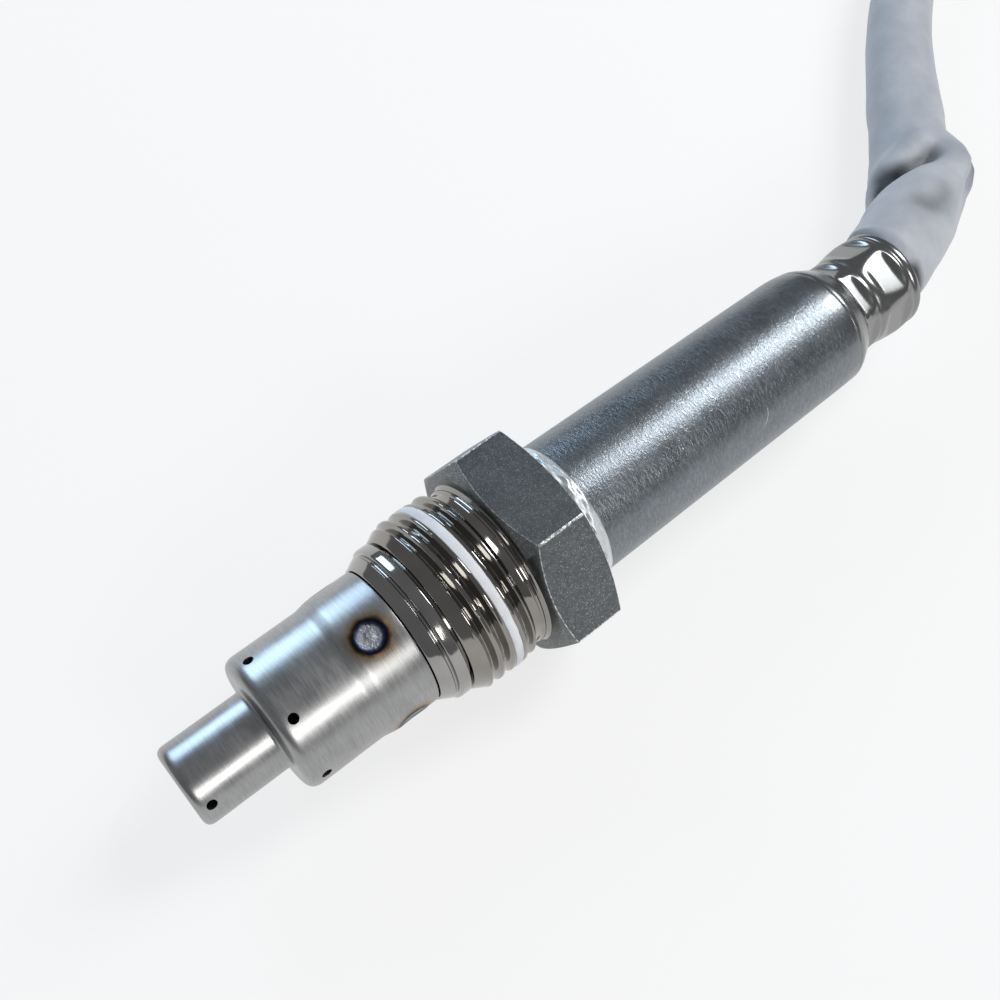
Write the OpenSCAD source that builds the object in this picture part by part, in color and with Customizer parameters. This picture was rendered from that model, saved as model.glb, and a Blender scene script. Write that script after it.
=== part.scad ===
// Probe of a nitrogen oxide sensor with its lead, lying as it rests on a bench.
// The probe's axis runs along X, the tip towards -X. Z is up.
// The origin lies on the lower flat of the nut's hexagon, at its middle.

/* [Union nut] */
// Width across the flats of the hexagon
hex_af = 22; // [20:0.5:24]
// Length of the hexagon along the axis
hex_len = 7.5; // [6:0.5:12]
// Radius at which the front chamfer of the hexagon starts
hex_front_land_r = 10.6; // [10.2:0.1:10.9]
// Length of the front chamfer, at the corners
hex_front_chamfer = 1.05; // [0.4:0.05:1.5]
// Radius at which the rear chamfer of the hexagon starts
hex_rear_land_r = 10.4; // [10:0.1:10.9]
// Length of the rear chamfer, at the corners
hex_rear_chamfer = 0.75; // [0.3:0.05:1.5]
// Plain neck between the hexagon and the thread
neck_len = 1.9; // [1:0.1:4]
// Diameter of the plain neck
neck_d = 18.5; // [18:0.1:19.5]
// Outer diameter of the thread
thread_d = 20; // [19.6:0.1:20.4]
// Pitch of the thread
thread_pitch = 1.5; // [1.25:0.25:2]
// Depth of the thread
thread_depth = 0.8; // [0.4:0.1:0.9]
// Width of the flat on a thread crest
thread_crest = 0.25; // [0.15:0.05:0.4]
// Number of thread turns
thread_turns = 4; // [3:1:6]
// Length of the plain lead-in ahead of the thread
lead_in_len = 1.5; // [0.8:0.1:2]
// Diameter at the front edge of the lead-in
lead_in_front_d = 18.2; // [17.8:0.1:19]
// Diameter at the rear edge of the lead-in
lead_in_rear_d = 19.4; // [19:0.1:19.8]
// Thread groove that holds the anti-seize paste, counted from the front
paste_groove = 2; // [1:1:3]

/* [Outer cap] */
// Diameter of the narrow nose
nose_d = 8.84; // [8:0.1:9.4]
// Length of the narrow nose
nose_len = 9.55; // [6:0.05:12]
// Radius of the edge at the tip
nose_edge_r = 0.9; // [0.6:0.1:1.5]
// Radius of the hollow corner between nose and body
nose_root_r = 0.5; // [0.2:0.1:1]
// Diameter of the front part of the cap's body
cap_front_d = 15.06; // [14:0.1:15.4]
// Diameter of the rear part of the cap's body
cap_rear_d = 15.6; // [15.4:0.1:16.2]
// Length of the front part of the cap's body
cap_front_len = 8.7; // [6:0.1:12]
// Length of the cone between the two parts
cap_cone_len = 1.4; // [0.6:0.1:3]
// Length of the rear part of the cap's body
cap_rear_len = 5.15; // [4.5:0.05:8]
// Radius of the cap's front edge
cap_edge_r = 1.3; // [0.8:0.1:1.8]
// Wall of the outer cap
cap_wall = 0.55; // [0.4:0.05:0.8]
// Diameter of the vent holes
vent_d = 1.1; // [0.8:0.1:1.6]
// Number of vent holes around the body
body_vents = 6; // [4:1:8]
// Distance from the cap's shoulder to the vent holes in the body
body_vent_back = 2; // [1.8:0.1:3]
// Number of vent holes around the nose
nose_vents = 2; // [1:1:3]
// Distance from the tip to the vent holes in the nose
nose_vent_back = 1.5; // [1.4:0.1:3]
// Number of resistance weld spots around the cap
weld_spots = 4; // [3:1:6]
// Diameter of a weld spot
weld_spot_d = 2.75; // [2:0.1:3.2]
// Distance from the cap's rear edge to the weld spots
weld_spot_back = 3.15; // [2.8:0.1:3.3]

/* [Inner cap] */
// Outer diameter of the inner cap
inner_cap_d = 11.2; // [10:0.1:12]
// Length of the inner cap
inner_cap_len = 9; // [7:0.5:10]
// Wall of the inner cap
inner_cap_wall = 0.4; // [0.3:0.05:0.6]
// Diameter of the holes in the inner cap
inner_vent_d = 1.3; // [1:0.1:1.8]
// Length of the seat that carries the inner cap
inner_seat_len = 2.4; // [1.5:0.1:3.5]

/* [Probe shell] */
// Outer diameter of the sealing collar
collar_d = 18.1; // [17.4:0.1:18.6]
// Length of the sealing collar
collar_len = 3; // [2.6:0.1:5]
// Gap between the collar and the nut
nut_front_gap = 0.35; // [0.2:0.05:0.8]
// Diameter of the stem that the nut turns on
stem_d = 15.7; // [15:0.1:16]
// Radial clearance between the nut and the stem
nut_clearance = 0.05; // [0.02:0.01:0.09]
// Gap between the nut and the weld bead behind it
nut_rear_gap = 0.4; // [0.2:0.05:0.8]
// Bore of the shell
shell_bore_d = 9.2; // [8.6:0.1:10]
// Bore at the shell's front end, around the ceramic element
shell_front_bore_d = 5.8; // [5.4:0.1:6.4]
// Wall that closes the bore towards the front
shell_front_wall = 3.2; // [2:0.1:4]
// Length of the seat inside the rear sleeve
sleeve_seat_len = 9; // [6:0.5:12]

/* [Rear sleeve] */
// Diameter at the front end of the rear sleeve
sleeve_front_d = 15.94; // [15.8:0.1:16.6]
// Diameter at the rear end of the rear sleeve's long tube
sleeve_rear_d = 14.98; // [14.6:0.1:15.8]
// Length of the long tube
sleeve_len = 38.4; // [32:0.2:46]
// Wall of the rear sleeve
sleeve_wall = 0.6; // [0.5:0.05:0.8]
// Length of the rounded shoulder
shoulder_len = 5.2; // [3.5:0.1:7]
// Diameter of the front row of the crimp, over its corners
crimp_front_d = 11.7; // [11:0.1:12.2]
// Length of the front row of the crimp
crimp_front_len = 2.1; // [1.8:0.1:4.5]
// Diameter of the rear row of the crimp, over its corners
crimp_rear_d = 12.2; // [11.6:0.1:12.6]
// Length of the rear row of the crimp
crimp_rear_len = 4.9; // [3:0.1:6]
// Length of the ridge between the two rows
crimp_ridge_len = 0.75; // [0.5:0.05:2]
// Length of the rounded lip at the cable end
lip_len = 0.95; // [0.6:0.05:2]
// Depth of the flats that the crimp's jaws press
crimp_depth = 0.5; // [0.2:0.05:0.55]
// Number of flats around the crimp
crimp_flats = 6; // [4:1:8]
// Bore of the crimped end
crimp_bore_d = 10; // [9.4:0.1:10.2]
// Height of the weld bead over the sleeve
bead_height = 0.42; // [0.3:0.02:0.6]
// Width of the weld bead
bead_len = 1.95; // [1.2:0.05:2.6]

/* [Inside parts] */
// Width of the ceramic element
element_w = 4.2; // [3.6:0.1:4.6]
// Thickness of the ceramic element
element_t = 1.6; // [1:0.1:1.8]
// Length of the ceramic element
element_len = 62; // [58:1:66]
// Clearance between pieces that are pushed into each other
seat_gap = 0.02; // [0.01:0.01:0.04]
// Length of the front insulator
front_insulator_len = 8; // [6:0.5:9]
// Length of the pressed powder ring
powder_len = 5; // [3:0.5:6]
// Length of the rear insulator
rear_insulator_len = 8.5; // [7:0.5:10]
// Length of the ring that presses on the stack
press_ring_len = 2.5; // [1.5:0.5:4]
// Diameter of the contact holder
holder_d = 11.2; // [10:0.1:12]
// Length of the contact holder
holder_len = 15; // [12:0.5:16]
// Distance from the hexagon's middle to the contact holder
holder_start = 22; // [20:0.5:24]
// Wall of the clamp ring around the contact holder
clamp_wall = 0.35; // [0.25:0.05:0.5]
// Width of the clamp ring
clamp_len = 7; // [5:0.5:10]
// Width of a contact spring
contact_w = 0.9; // [0.6:0.1:1.1]
// Thickness of a contact spring
contact_t = 0.3; // [0.2:0.05:0.4]
// Distance between neighbouring contacts
contact_pitch = 1.45; // [1.3:0.05:1.5]
// Diameter of an insulated wire
wire_d = 1.6; // [1.3:0.1:1.7]
// Distance between neighbouring wires, sideways
wire_pitch = 2.3; // [1.8:0.1:2.6]
// Height of a row of wires over the axis
wire_row = 1.45; // [1.2:0.05:1.6]
// Length of the seal plug
plug_len = 8; // [5:0.5:9]

/* [Lead] */
// Diameter of the lead's protective sleeve
lead_d = 9; // [7:0.5:9.5]
// Distance between neighbouring turns of the coil
coil_pitch = 9.4; // [9.2:0.1:11]
// Radius of the outermost turn, at the middle of the lead
coil_r = 42; // [40:1:48]
// Number of turns in the coil
coil_turns = 1.5; // [1.5:0.5:2.5]

/* [Connector] */
// Width of the connector housing
plug_w = 19; // [17:0.5:20]
// Height of the connector housing
plug_h = 14; // [12:0.5:16]
// Length of the connector housing
plug_body_len = 16; // [12:0.5:18]
// Length of the front part that carries the seal
plug_nose_len = 8; // [6:0.5:9]
// Step from the housing to the front part, on each side
plug_nose_step = 2.4; // [1.8:0.1:3]
// Number of terminals in a row
terminal_columns = 3; // [2:1:3]
// Distance between neighbouring terminals
terminal_pitch = 4; // [3.5:0.1:4.5]
// Width of a terminal chamber
chamber_w = 1.8; // [1.4:0.1:2.2]
// Length of the rubber boot behind the housing
boot_len = 12; // [8:0.5:14]
// Height of the lead's middle where it enters the boot
boot_entry_z = 7; // [6.5:0.5:8]

/* [Hidden] */
$fn = 72;
eps = 0.01;

steel = [0.72, 0.73, 0.75];
dark_steel = [0.5, 0.53, 0.58];
nickel = [0.62, 0.62, 0.6];
ceramic = [0.93, 0.92, 0.88];
rubber = [0.16, 0.16, 0.17];
sleeve_blue = [0.68, 0.74, 0.82];
plastic = [0.09, 0.09, 0.1];

axis_z = hex_af / 2;
hex_corner_r = hex_af / 2 / cos(30);

// Places along the axis, counted from the middle of the hexagon
hex_front = -hex_len / 2;
hex_rear = hex_len / 2;
thread_end = hex_front - neck_len;
thread_start = thread_end - thread_turns * thread_pitch;
nut_front = thread_start - lead_in_len;
collar_rear = nut_front - nut_front_gap;
collar_front = collar_rear - collar_len;
cap_end = collar_front - 0.1;
cap_shoulder = cap_end - cap_rear_len - cap_cone_len - cap_front_len;
nose_tip = cap_shoulder - nose_len;
sleeve_start = hex_rear + nut_rear_gap;
sleeve_tube_end = sleeve_start + sleeve_len;
crimp_start = sleeve_tube_end + shoulder_len;
crimp_ridge = crimp_start + crimp_front_len;
crimp_rear = crimp_ridge + crimp_ridge_len;
lip_start = crimp_rear + crimp_rear_len;
sleeve_end = lip_start + lip_len;
plug_end = sleeve_end - 1.9;
plug_start = plug_end - plug_len;
holder_end = holder_start + holder_len;

// Radii that other pieces depend on
thread_r = thread_d / 2;
stem_r = stem_d / 2;
cap_seat_r = cap_rear_d / 2 - cap_wall - seat_gap;
inner_seat_r = inner_cap_d / 2 - inner_cap_wall - seat_gap;
sleeve_seat_r = sleeve_r(sleeve_start + sleeve_seat_len) - sleeve_wall - seat_gap;
shell_bore_r = shell_bore_d / 2;
cap_seat_front = cap_end - cap_rear_len + 1;
inner_seat_front = cap_seat_front - inner_seat_len;
shell_bore_front = inner_seat_front + shell_front_wall + 2;
shell_end = sleeve_start + sleeve_seat_len;
inner_cap_tip = cap_seat_front - inner_cap_len;
element_start = inner_cap_tip + inner_cap_wall + 0.6;
powder_start = shell_bore_front + front_insulator_len;
rear_insulator_start = powder_start + powder_len;
press_ring_start = rear_insulator_start + rear_insulator_len;
contact_z = element_t / 2 + contact_t / 2;

// Angles around the axis, from straight up towards -Y
body_vent_turn = 30;
nose_vent_turn = 63;
weld_spot_turn = 15;
crimp_turn = 23;

// The coil lies past the lead's bend. Its first turn starts at this angle and runs clockwise
coil_centre = [175, 10];
coil_start_turn = 90;
coil_end_turn = coil_start_turn - 360 * coil_turns;
coil_end_r = coil_r - coil_pitch * coil_turns;

// Route of the lead from the crimp to the coil, chosen by hand
LEAD_ROUTE = [
    [54.6, 0, 11], [58, 0, 11], [61.8, 1.2, 10.7], [66.4, 3.7, 9.8], [71, 6.4, 8.8],
    [75.4, 9.4, 7.7], [79.2, 12.7, 6.7], [82.9, 16.6, 5.8], [87.2, 21, 5.1],
    [92.6, 26.2, 4.7], [98.8, 31.8, 4.5], [106, 37.4, 4.5], [114, 42.3, 4.5],
    [123, 46.2, 4.5], [133, 49.2, 4.5], [144, 51.2, 4.5], [158.5, 52, 4.5],
    [
        coil_centre[0] + coil_r * cos(coil_start_turn),
        coil_centre[1] + coil_r * sin(coil_start_turn), lead_d / 2
    ]
];
// The lead's end climbs onto the coil: degrees on, mm inwards and height, chosen by hand
TAIL_STEPS = [
    [0, 0, 4.5], [20, 0.7, 4.7], [40, 1.4, 5.6], [60, 1.9, 7.3], [80, 2.2, 9.6],
    [100, 2.3, 12], [120, 2.3, 14.1], [138, 2.2, 15.5], [155, 1.94, 16], [165, 2.3, 16]
];
TAIL_ROUTE = [
    for (step = TAIL_STEPS)
        let (turn = coil_end_turn - step[0], r = coil_end_r - step[1])
        [coil_centre[0] + r * cos(turn), coil_centre[1] + r * sin(turn), step[2]]
];
tail_end = TAIL_ROUTE[len(TAIL_ROUTE) - 1];
tail_entry = TAIL_ROUTE[len(TAIL_ROUTE) - 2];
plug_turn = atan2(tail_end[1] - tail_entry[1], tail_end[0] - tail_entry[0]);
lead_sides = 10;

// Radius of the rear sleeve's long tube at a place along the axis
function sleeve_r(x) =
    let (share = (x - sleeve_start) / sleeve_len)
    sleeve_front_d / 2 * (1 - share) + sleeve_rear_d / 2 * share;

// Points of an arc about a centre, from one angle to another
function arc(centre, r, from, to, steps = 6) = [
    for (i = [0:steps])
        let (turn = from + (to - from) * i / steps)
        [centre[0] + r * cos(turn), centre[1] + r * sin(turn)]
];

function unit(v) = v / norm(v);

// Direction of a route at one of its points
function heading(route, i) =
    unit(route[min(i + 1, len(route) - 1)] - route[max(i - 1, 0)]);

// Puts what is modelled along Z onto the probe's axis
module on_axis() {
    translate([0, 0, axis_z]) rotate([0, 90, 0]) children();
}

// Turns a profile of radius and place along the axis into a solid
module turned(profile) {
    on_axis() rotate_extrude() polygon(profile);
}

// Sets its child on the axis at a place and an angle, pointing outwards
module around(x, turn) {
    translate([x, 0, axis_z]) rotate([turn, 0, 0]) children();
}

module plain_ring(x, length, outer_r, inner_r) {
    turned([[inner_r, x], [outer_r, x], [outer_r, x + length], [inner_r, x + length]]);
}

// Cap

// Line of a stepped cap from its tip to its rear edge, moved in by a wall
function cap_line(inset) =
    let (
        nose_r = nose_d / 2 - inset,
        front_r = cap_front_d / 2 - inset,
        rear_r = cap_rear_d / 2 - inset,
        tip = nose_tip + inset,
        shoulder = cap_shoulder + inset,
        tip_edge = nose_edge_r - inset * 0.9,
        edge = cap_edge_r - inset,
        root = nose_root_r + inset
    )
    concat(
        [[0, tip]],
        arc([nose_r - tip_edge, tip + tip_edge], tip_edge, -90, 0),
        arc([nose_r + root, shoulder - root], root, 180, 90),
        arc([front_r - edge, shoulder + edge], edge, -90, 0),
        [
            [front_r, cap_shoulder + cap_front_len],
            [rear_r, cap_shoulder + cap_front_len + cap_cone_len],
            [rear_r, cap_end]
        ]
    );

function reversed(list) = [for (i = [len(list) - 1:-1:0]) list[i]];

module outer_cap() {
    color(steel) difference() {
        turned(concat(cap_line(0), reversed(cap_line(cap_wall))));
        for (i = [0:body_vents - 1])
            around(cap_shoulder + body_vent_back, body_vent_turn + i * 360 / body_vents)
                translate([0, 0, cap_front_d / 2 - 2 * cap_wall])
                    cylinder(d = vent_d, h = 3 * cap_wall, $fn = 24);
        for (i = [0:nose_vents - 1])
            around(nose_tip + nose_vent_back, nose_vent_turn + i * 360 / nose_vents)
                translate([0, 0, nose_d / 2 - 2 * cap_wall])
                    cylinder(d = vent_d, h = 3 * cap_wall, $fn = 24);
        for (i = [0:weld_spots - 1])
            around(cap_end - weld_spot_back, weld_spot_turn + i * 360 / weld_spots)
                translate([0, 0, cap_rear_d / 2 - cap_wall * 0.28])
                    cylinder(d = weld_spot_d, h = cap_wall, $fn = 36);
    }
}

module inner_cap() {
    r = inner_cap_d / 2;
    edge = 1.2;
    inner_edge = edge - inner_cap_wall;
    hollow_r = r - inner_cap_wall;
    hollow_tip = inner_cap_tip + inner_cap_wall;
    color(steel) difference() {
        turned(concat(
            [[0, inner_cap_tip]],
            arc([r - edge, inner_cap_tip + edge], edge, -90, 0),
            [[r, cap_seat_front], [hollow_r, cap_seat_front]],
            arc([hollow_r - inner_edge, hollow_tip + inner_edge], inner_edge, 0, -90),
            [[0, hollow_tip]]
        ));
        for (i = [0:body_vents - 1])
            around(inner_cap_tip + inner_cap_len * 0.4, i * 360 / body_vents)
                translate([0, 0, hollow_r - 0.3])
                    cylinder(d = inner_vent_d, h = 1, $fn = 24);
        on_axis() translate([0, 0, inner_cap_tip - eps])
            cylinder(d = inner_vent_d, h = inner_cap_wall + 2 * eps, $fn = 24);
    }
}

// Shell, nut and sleeve

module probe_shell() {
    collar_r = collar_d / 2;
    groove_back = collar_len * 0.5;
    color(nickel) turned([
        [shell_front_bore_d / 2, inner_seat_front],
        [inner_seat_r, inner_seat_front],
        [inner_seat_r, cap_seat_front],
        [cap_seat_r, cap_seat_front + seat_gap],
        [cap_seat_r, collar_front],
        [cap_rear_d / 2, collar_front],
        [collar_r - 0.9, collar_front + 0.45],
        [collar_r - 0.5, collar_front + groove_back - 0.25],
        [collar_r - 0.62, collar_front + groove_back - 0.15],
        [collar_r - 0.62, collar_front + groove_back],
        [collar_r - 0.15, collar_front + groove_back + 0.1],
        [collar_r, collar_front + groove_back + 0.35],
        [collar_r, collar_rear - 0.15],
        [collar_r - 0.15, collar_rear],
        [stem_r, collar_rear],
        [stem_r, sleeve_start - seat_gap],
        [sleeve_seat_r, sleeve_start - seat_gap],
        [sleeve_seat_r, shell_end],
        [shell_bore_r, shell_end],
        [shell_bore_r, shell_bore_front],
        [shell_front_bore_d / 2, shell_bore_front]
    ]);
}

// Line of the thread from its front to its rear end
function thread_line() =
    let (
        root_r = thread_r - thread_depth,
        root = thread_pitch - thread_crest - 2 * thread_depth * tan(30)
    )
    [
        for (i = [0:thread_turns - 1])
            let (start = thread_start + i * thread_pitch + root / 2)
            each [
                [root_r, start],
                [thread_r, start + thread_depth * tan(30)],
                [thread_r, start + thread_depth * tan(30) + thread_crest],
                [root_r, start + 2 * thread_depth * tan(30) + thread_crest]
            ]
    ];

module union_nut() {
    bore_r = stem_r + nut_clearance;
    color(dark_steel) difference() {
        union() {
            turned(concat(
                [
                    [bore_r - 1, nut_front],
                    [lead_in_front_d / 2 - 0.1, nut_front],
                    [lead_in_front_d / 2, nut_front + 0.1],
                    [lead_in_rear_d / 2, thread_start - 0.25],
                    [thread_r - thread_depth, thread_start]
                ],
                thread_line(),
                [
                    [thread_r - thread_depth, thread_end],
                    [neck_d / 2, thread_end],
                    [neck_d / 2, hex_front + 1],
                    [bore_r - 1, hex_front + 1]
                ]
            ));
            intersection() {
                on_axis() translate([0, 0, hex_front]) rotate([0, 0, 30])
                    cylinder(r = hex_corner_r, h = hex_len, $fn = 6);
                turned([
                    [0, hex_front],
                    [hex_front_land_r, hex_front],
                    [hex_corner_r, hex_front + hex_front_chamfer],
                    [hex_corner_r, hex_rear - hex_rear_chamfer],
                    [hex_rear_land_r, hex_rear],
                    [0, hex_rear]
                ]);
            }
        }
        on_axis() translate([0, 0, nut_front - 1])
            cylinder(r = bore_r, h = hex_rear - nut_front + 2);
    }
}

// Paste that fills one groove of the thread
module antiseize_paste() {
    root = thread_pitch - thread_crest - 2 * thread_depth * tan(30);
    flank = thread_depth * tan(30);
    start = thread_start + paste_groove * thread_pitch - root / 2 - flank;
    color("white") turned([
        [thread_r - thread_depth, start + flank],
        [thread_r, start],
        [thread_r, start + root + 2 * flank],
        [thread_r - thread_depth, start + root + flank]
    ]);
}

module sleeve_weld_bead() {
    inner_r = sleeve_r(sleeve_start) + seat_gap;
    half = bead_len / 2;
    color(steel) turned([
        [inner_r, sleeve_start + 0.05],
        [inner_r + bead_height * 0.8, sleeve_start + 0.05],
        [inner_r + bead_height, sleeve_start + half * 0.5],
        [inner_r + bead_height * 0.6, sleeve_start + half],
        [inner_r + bead_height * 0.95, sleeve_start + half * 1.5],
        [inner_r + bead_height * 0.4, sleeve_start + bead_len],
        [inner_r, sleeve_start + bead_len]
    ]);
}

// Outer line of the rear sleeve, moved in by a wall, up to the crimp
function shoulder_line(inset) =
    let (
        wide = sleeve_rear_d / 2 - inset,
        narrow = crimp_front_d / 2 - inset * 0.8,
        soft = [[0, 0], [0.2, 0.02], [0.45, 0.1], [0.65, 0.25], [0.8, 0.5], [0.91, 0.8], [1, 1]]
    )
    [
        for (p = soft)
            [wide + (narrow - wide) * p[1], sleeve_tube_end + (shoulder_len - inset) * p[0]]
    ];

// Flats that the jaws of the crimping tool press around one row
module crimp_row(x, length, corner_d) {
    slope = 0.35;
    for (i = [0:crimp_flats - 1])
        around(x, crimp_turn + i * 360 / crimp_flats)
            translate([0, 0, corner_d / 2 - crimp_depth])
                rotate([90, 0, 0])
                    linear_extrude(height = corner_d, center = true)
                        polygon([
                            [slope, 0], [length - slope, 0],
                            [length + slope, 2 * crimp_depth], [-slope, 2 * crimp_depth]
                        ]);
}

module rear_sleeve() {
    front_r = crimp_front_d / 2;
    rear_r = crimp_rear_d / 2;
    bore_r = crimp_bore_d / 2;
    color(dark_steel) difference() {
        turned(concat(
            [[sleeve_front_d / 2 - sleeve_wall, sleeve_start], [sleeve_front_d / 2, sleeve_start]],
            shoulder_line(0),
            [
                [front_r, crimp_ridge],
                [front_r + 0.08, crimp_ridge + crimp_ridge_len / 2],
                [rear_r, crimp_rear],
                [rear_r, lip_start],
                [rear_r - 0.1, lip_start + lip_len * 0.3],
                [rear_r - 0.2, lip_start + lip_len * 0.8],
                [rear_r - 0.45, sleeve_end],
                [bore_r, sleeve_end],
                [bore_r, crimp_start - sleeve_wall * 0.5]
            ],
            reversed(shoulder_line(sleeve_wall))
        ));
        crimp_row(crimp_start, crimp_front_len, crimp_front_d);
        crimp_row(crimp_rear, crimp_rear_len, crimp_rear_d);
    }
}

// Inside parts

module sensing_element() {
    color(ceramic) translate([element_start, -element_w / 2, axis_z - element_t / 2])
        cube([element_len, element_w, element_t]);
}

// Ring around the ceramic element, with a slot for it
module slotted_ring(x, length) {
    difference() {
        on_axis() translate([0, 0, x])
            cylinder(r = shell_bore_r - seat_gap, h = length);
        translate([
            x - 1, -element_w / 2 - seat_gap, axis_z - element_t / 2 - seat_gap
        ])
            cube([length + 2, element_w + 2 * seat_gap, element_t + 2 * seat_gap]);
    }
}

module front_insulator() {
    color(ceramic) slotted_ring(shell_bore_front, front_insulator_len);
}

module powder_packing() {
    color("beige") slotted_ring(powder_start, powder_len);
}

module rear_insulator() {
    color(ceramic) slotted_ring(rear_insulator_start, rear_insulator_len);
}

module press_ring() {
    color(steel) plain_ring(
        press_ring_start, press_ring_len, shell_bore_r - seat_gap, shell_bore_r - 1.6
    );
}

module contact_holder() {
    slot_w = 2 * contact_pitch + contact_w + 2 * seat_gap;
    slot_t = element_t + 2 * contact_t + 2 * seat_gap;
    color(ceramic) difference() {
        on_axis() translate([0, 0, holder_start]) cylinder(d = holder_d, h = holder_len);
        translate([holder_start - 1, 0, axis_z])
            translate([0, -max(slot_w, element_w + 2 * seat_gap) / 2, -slot_t / 2])
                cube([holder_len + 2, max(slot_w, element_w + 2 * seat_gap), slot_t]);
    }
}

// Spring ring with four lugs that centre the holder in the sleeve
module contact_clamp() {
    start = holder_start + (holder_len - clamp_len) / 2;
    inner_r = holder_d / 2 + seat_gap;
    lug_r = sleeve_r(start + clamp_len) - sleeve_wall - seat_gap;
    color(steel) difference() {
        union() {
            plain_ring(start, clamp_len, inner_r + clamp_wall, inner_r);
            for (i = [0:3])
                around(start + clamp_len / 2, 45 + i * 90)
                    translate([-clamp_len / 4, -1, inner_r + clamp_wall / 2])
                        cube([clamp_len / 2, 2, lug_r - inner_r - clamp_wall / 2 - 0.1]);
        }
        around(start - 1, 90)
            translate([0, -0.5, inner_r - 0.5]) cube([clamp_len + 2, 1, clamp_wall + 1]);
    }
}

module contact_springs() {
    color("gold")
        for (side = [-1, 1], column = [-1:1])
            translate([
                holder_start + 0.5,
                column * contact_pitch - contact_w / 2,
                axis_z + side * (contact_z + seat_gap / 2) - contact_t / 2
            ])
                cube([holder_len - 0.5, contact_w, contact_t]);
}

module wire_places() {
    for (side = [-1, 1], column = [-1:1])
        translate([0, column * wire_pitch, axis_z + side * wire_row])
            rotate([0, 90, 0]) children();
}

module lead_wires() {
    color("whitesmoke") wire_places()
        translate([0, 0, holder_end])
            cylinder(d = wire_d, h = LEAD_ROUTE[0][0] - holder_end, $fn = 24);
}

module seal_plug() {
    color(rubber) difference() {
        on_axis() translate([0, 0, plug_start])
            cylinder(r = crimp_bore_d / 2 - seat_gap, h = plug_len);
        wire_places() translate([0, 0, plug_start - 1])
            cylinder(d = wire_d + 2 * seat_gap, h = plug_len + 2, $fn = 24);
    }
}

// Lead

// Round tube swept along the points of a route
module swept(route, r) {
    last = len(route) - 1;
    rings = [
        for (i = [0:last])
            let (
                ahead = heading(route, i),
                side = unit(cross([0, 0, 1], ahead)),
                up = cross(ahead, side)
            )
            each [
                for (k = [0:lead_sides - 1])
                    let (turn = k * 360 / lead_sides)
                    route[i] + r * (cos(turn) * side + sin(turn) * up)
            ]
    ];
    walls = [
        for (i = [0:last - 1], k = [0:lead_sides - 1])
            let (
                a = i * lead_sides + k,
                b = i * lead_sides + (k + 1) % lead_sides
            )
            each [
                [a, a + lead_sides, b + lead_sides],
                [a, b + lead_sides, b]
            ]
    ];
    first_end = [for (k = [0:lead_sides - 1]) k];
    last_end = [for (k = [lead_sides - 1:-1:0]) last * lead_sides + k];
    polyhedron(points = rings, faces = concat(walls, [first_end, last_end]));
}

module lead_tube() {
    color(sleeve_blue) swept(LEAD_ROUTE, lead_d / 2);
}

module lead_coil() {
    inner_r = coil_end_r - lead_d / 2;
    outer_r = coil_r + lead_d / 2;
    edge = lead_d / 3;
    color(sleeve_blue) translate([coil_centre[0], coil_centre[1], 0]) rotate_extrude()
        polygon([
            [inner_r, edge], [inner_r + edge, 0], [outer_r - edge, 0], [outer_r, edge],
            [outer_r, lead_d - edge], [outer_r - edge, lead_d],
            [inner_r + edge, lead_d], [inner_r, lead_d - edge]
        ]);
}

module lead_tail() {
    color(sleeve_blue) swept(TAIL_ROUTE, lead_d / 2);
}

// Connector

// Puts what is modelled along X behind the lead's end, lying on the coil
module at_plug() {
    translate([tail_end[0], tail_end[1], tail_end[2] - boot_entry_z])
        rotate([0, 0, plug_turn]) children();
}

// Box along X with its long edges cut off
module bevelled_box(x, length, width, low, high, edge) {
    half = width / 2;
    translate([x, 0, 0]) rotate([90, 0, 90]) linear_extrude(height = length)
        polygon([
            [-half + edge, low], [half - edge, low], [half, low + edge],
            [half, high - edge], [half - edge, high], [-half + edge, high],
            [-half, high - edge], [-half, low + edge]
        ]);
}

module terminal_places() {
    first = -(terminal_columns - 1) / 2;
    for (side = [-1, 1], column = [0:terminal_columns - 1])
        translate([
            0, (first + column) * terminal_pitch, plug_h / 2 + side * terminal_pitch / 2
        ])
            children();
}

module connector_housing() {
    front = boot_len + plug_body_len;
    nose_end = front + plug_nose_len;
    step = plug_nose_step;
    color(plastic) difference() {
        union() {
            bevelled_box(boot_len, plug_body_len, plug_w, 0, plug_h, 1);
            bevelled_box(front - 1, plug_nose_len + 1, plug_w - 2 * step, step, plug_h - step, 1);
            for (side = [-1, 1])
                translate([boot_len + 3, side * (plug_w / 4) - 0.6, plug_h - 0.5])
                    cube([plug_body_len - 4, 1.2, 1.4]);
            translate([boot_len + 4, -plug_w / 4, plug_h - 0.5])
                cube([plug_body_len - 7, plug_w / 2, 1]);
        }
        terminal_places()
            translate([front - 6, -chamber_w / 2, -chamber_w / 2])
                cube([plug_nose_len + 7, chamber_w, chamber_w]);
        translate([front - 5, -plug_w / 2 - 1, plug_h / 2 - 1.6])
            cube([2.4, 3.2, 3.2]);
    }
}

module connector_terminals() {
    front = boot_len + plug_body_len;
    outer = chamber_w - 2 * seat_gap;
    color("gold") terminal_places()
        translate([front - 6 + seat_gap, 0, 0]) difference() {
            translate([0, -outer / 2, -outer / 2])
                cube([plug_nose_len + 4.5, outer, outer]);
            translate([2, -outer / 2 + 0.3, -outer / 2 + 0.3])
                cube([plug_nose_len + 4, outer - 0.6, outer - 0.6]);
        }
}

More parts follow.
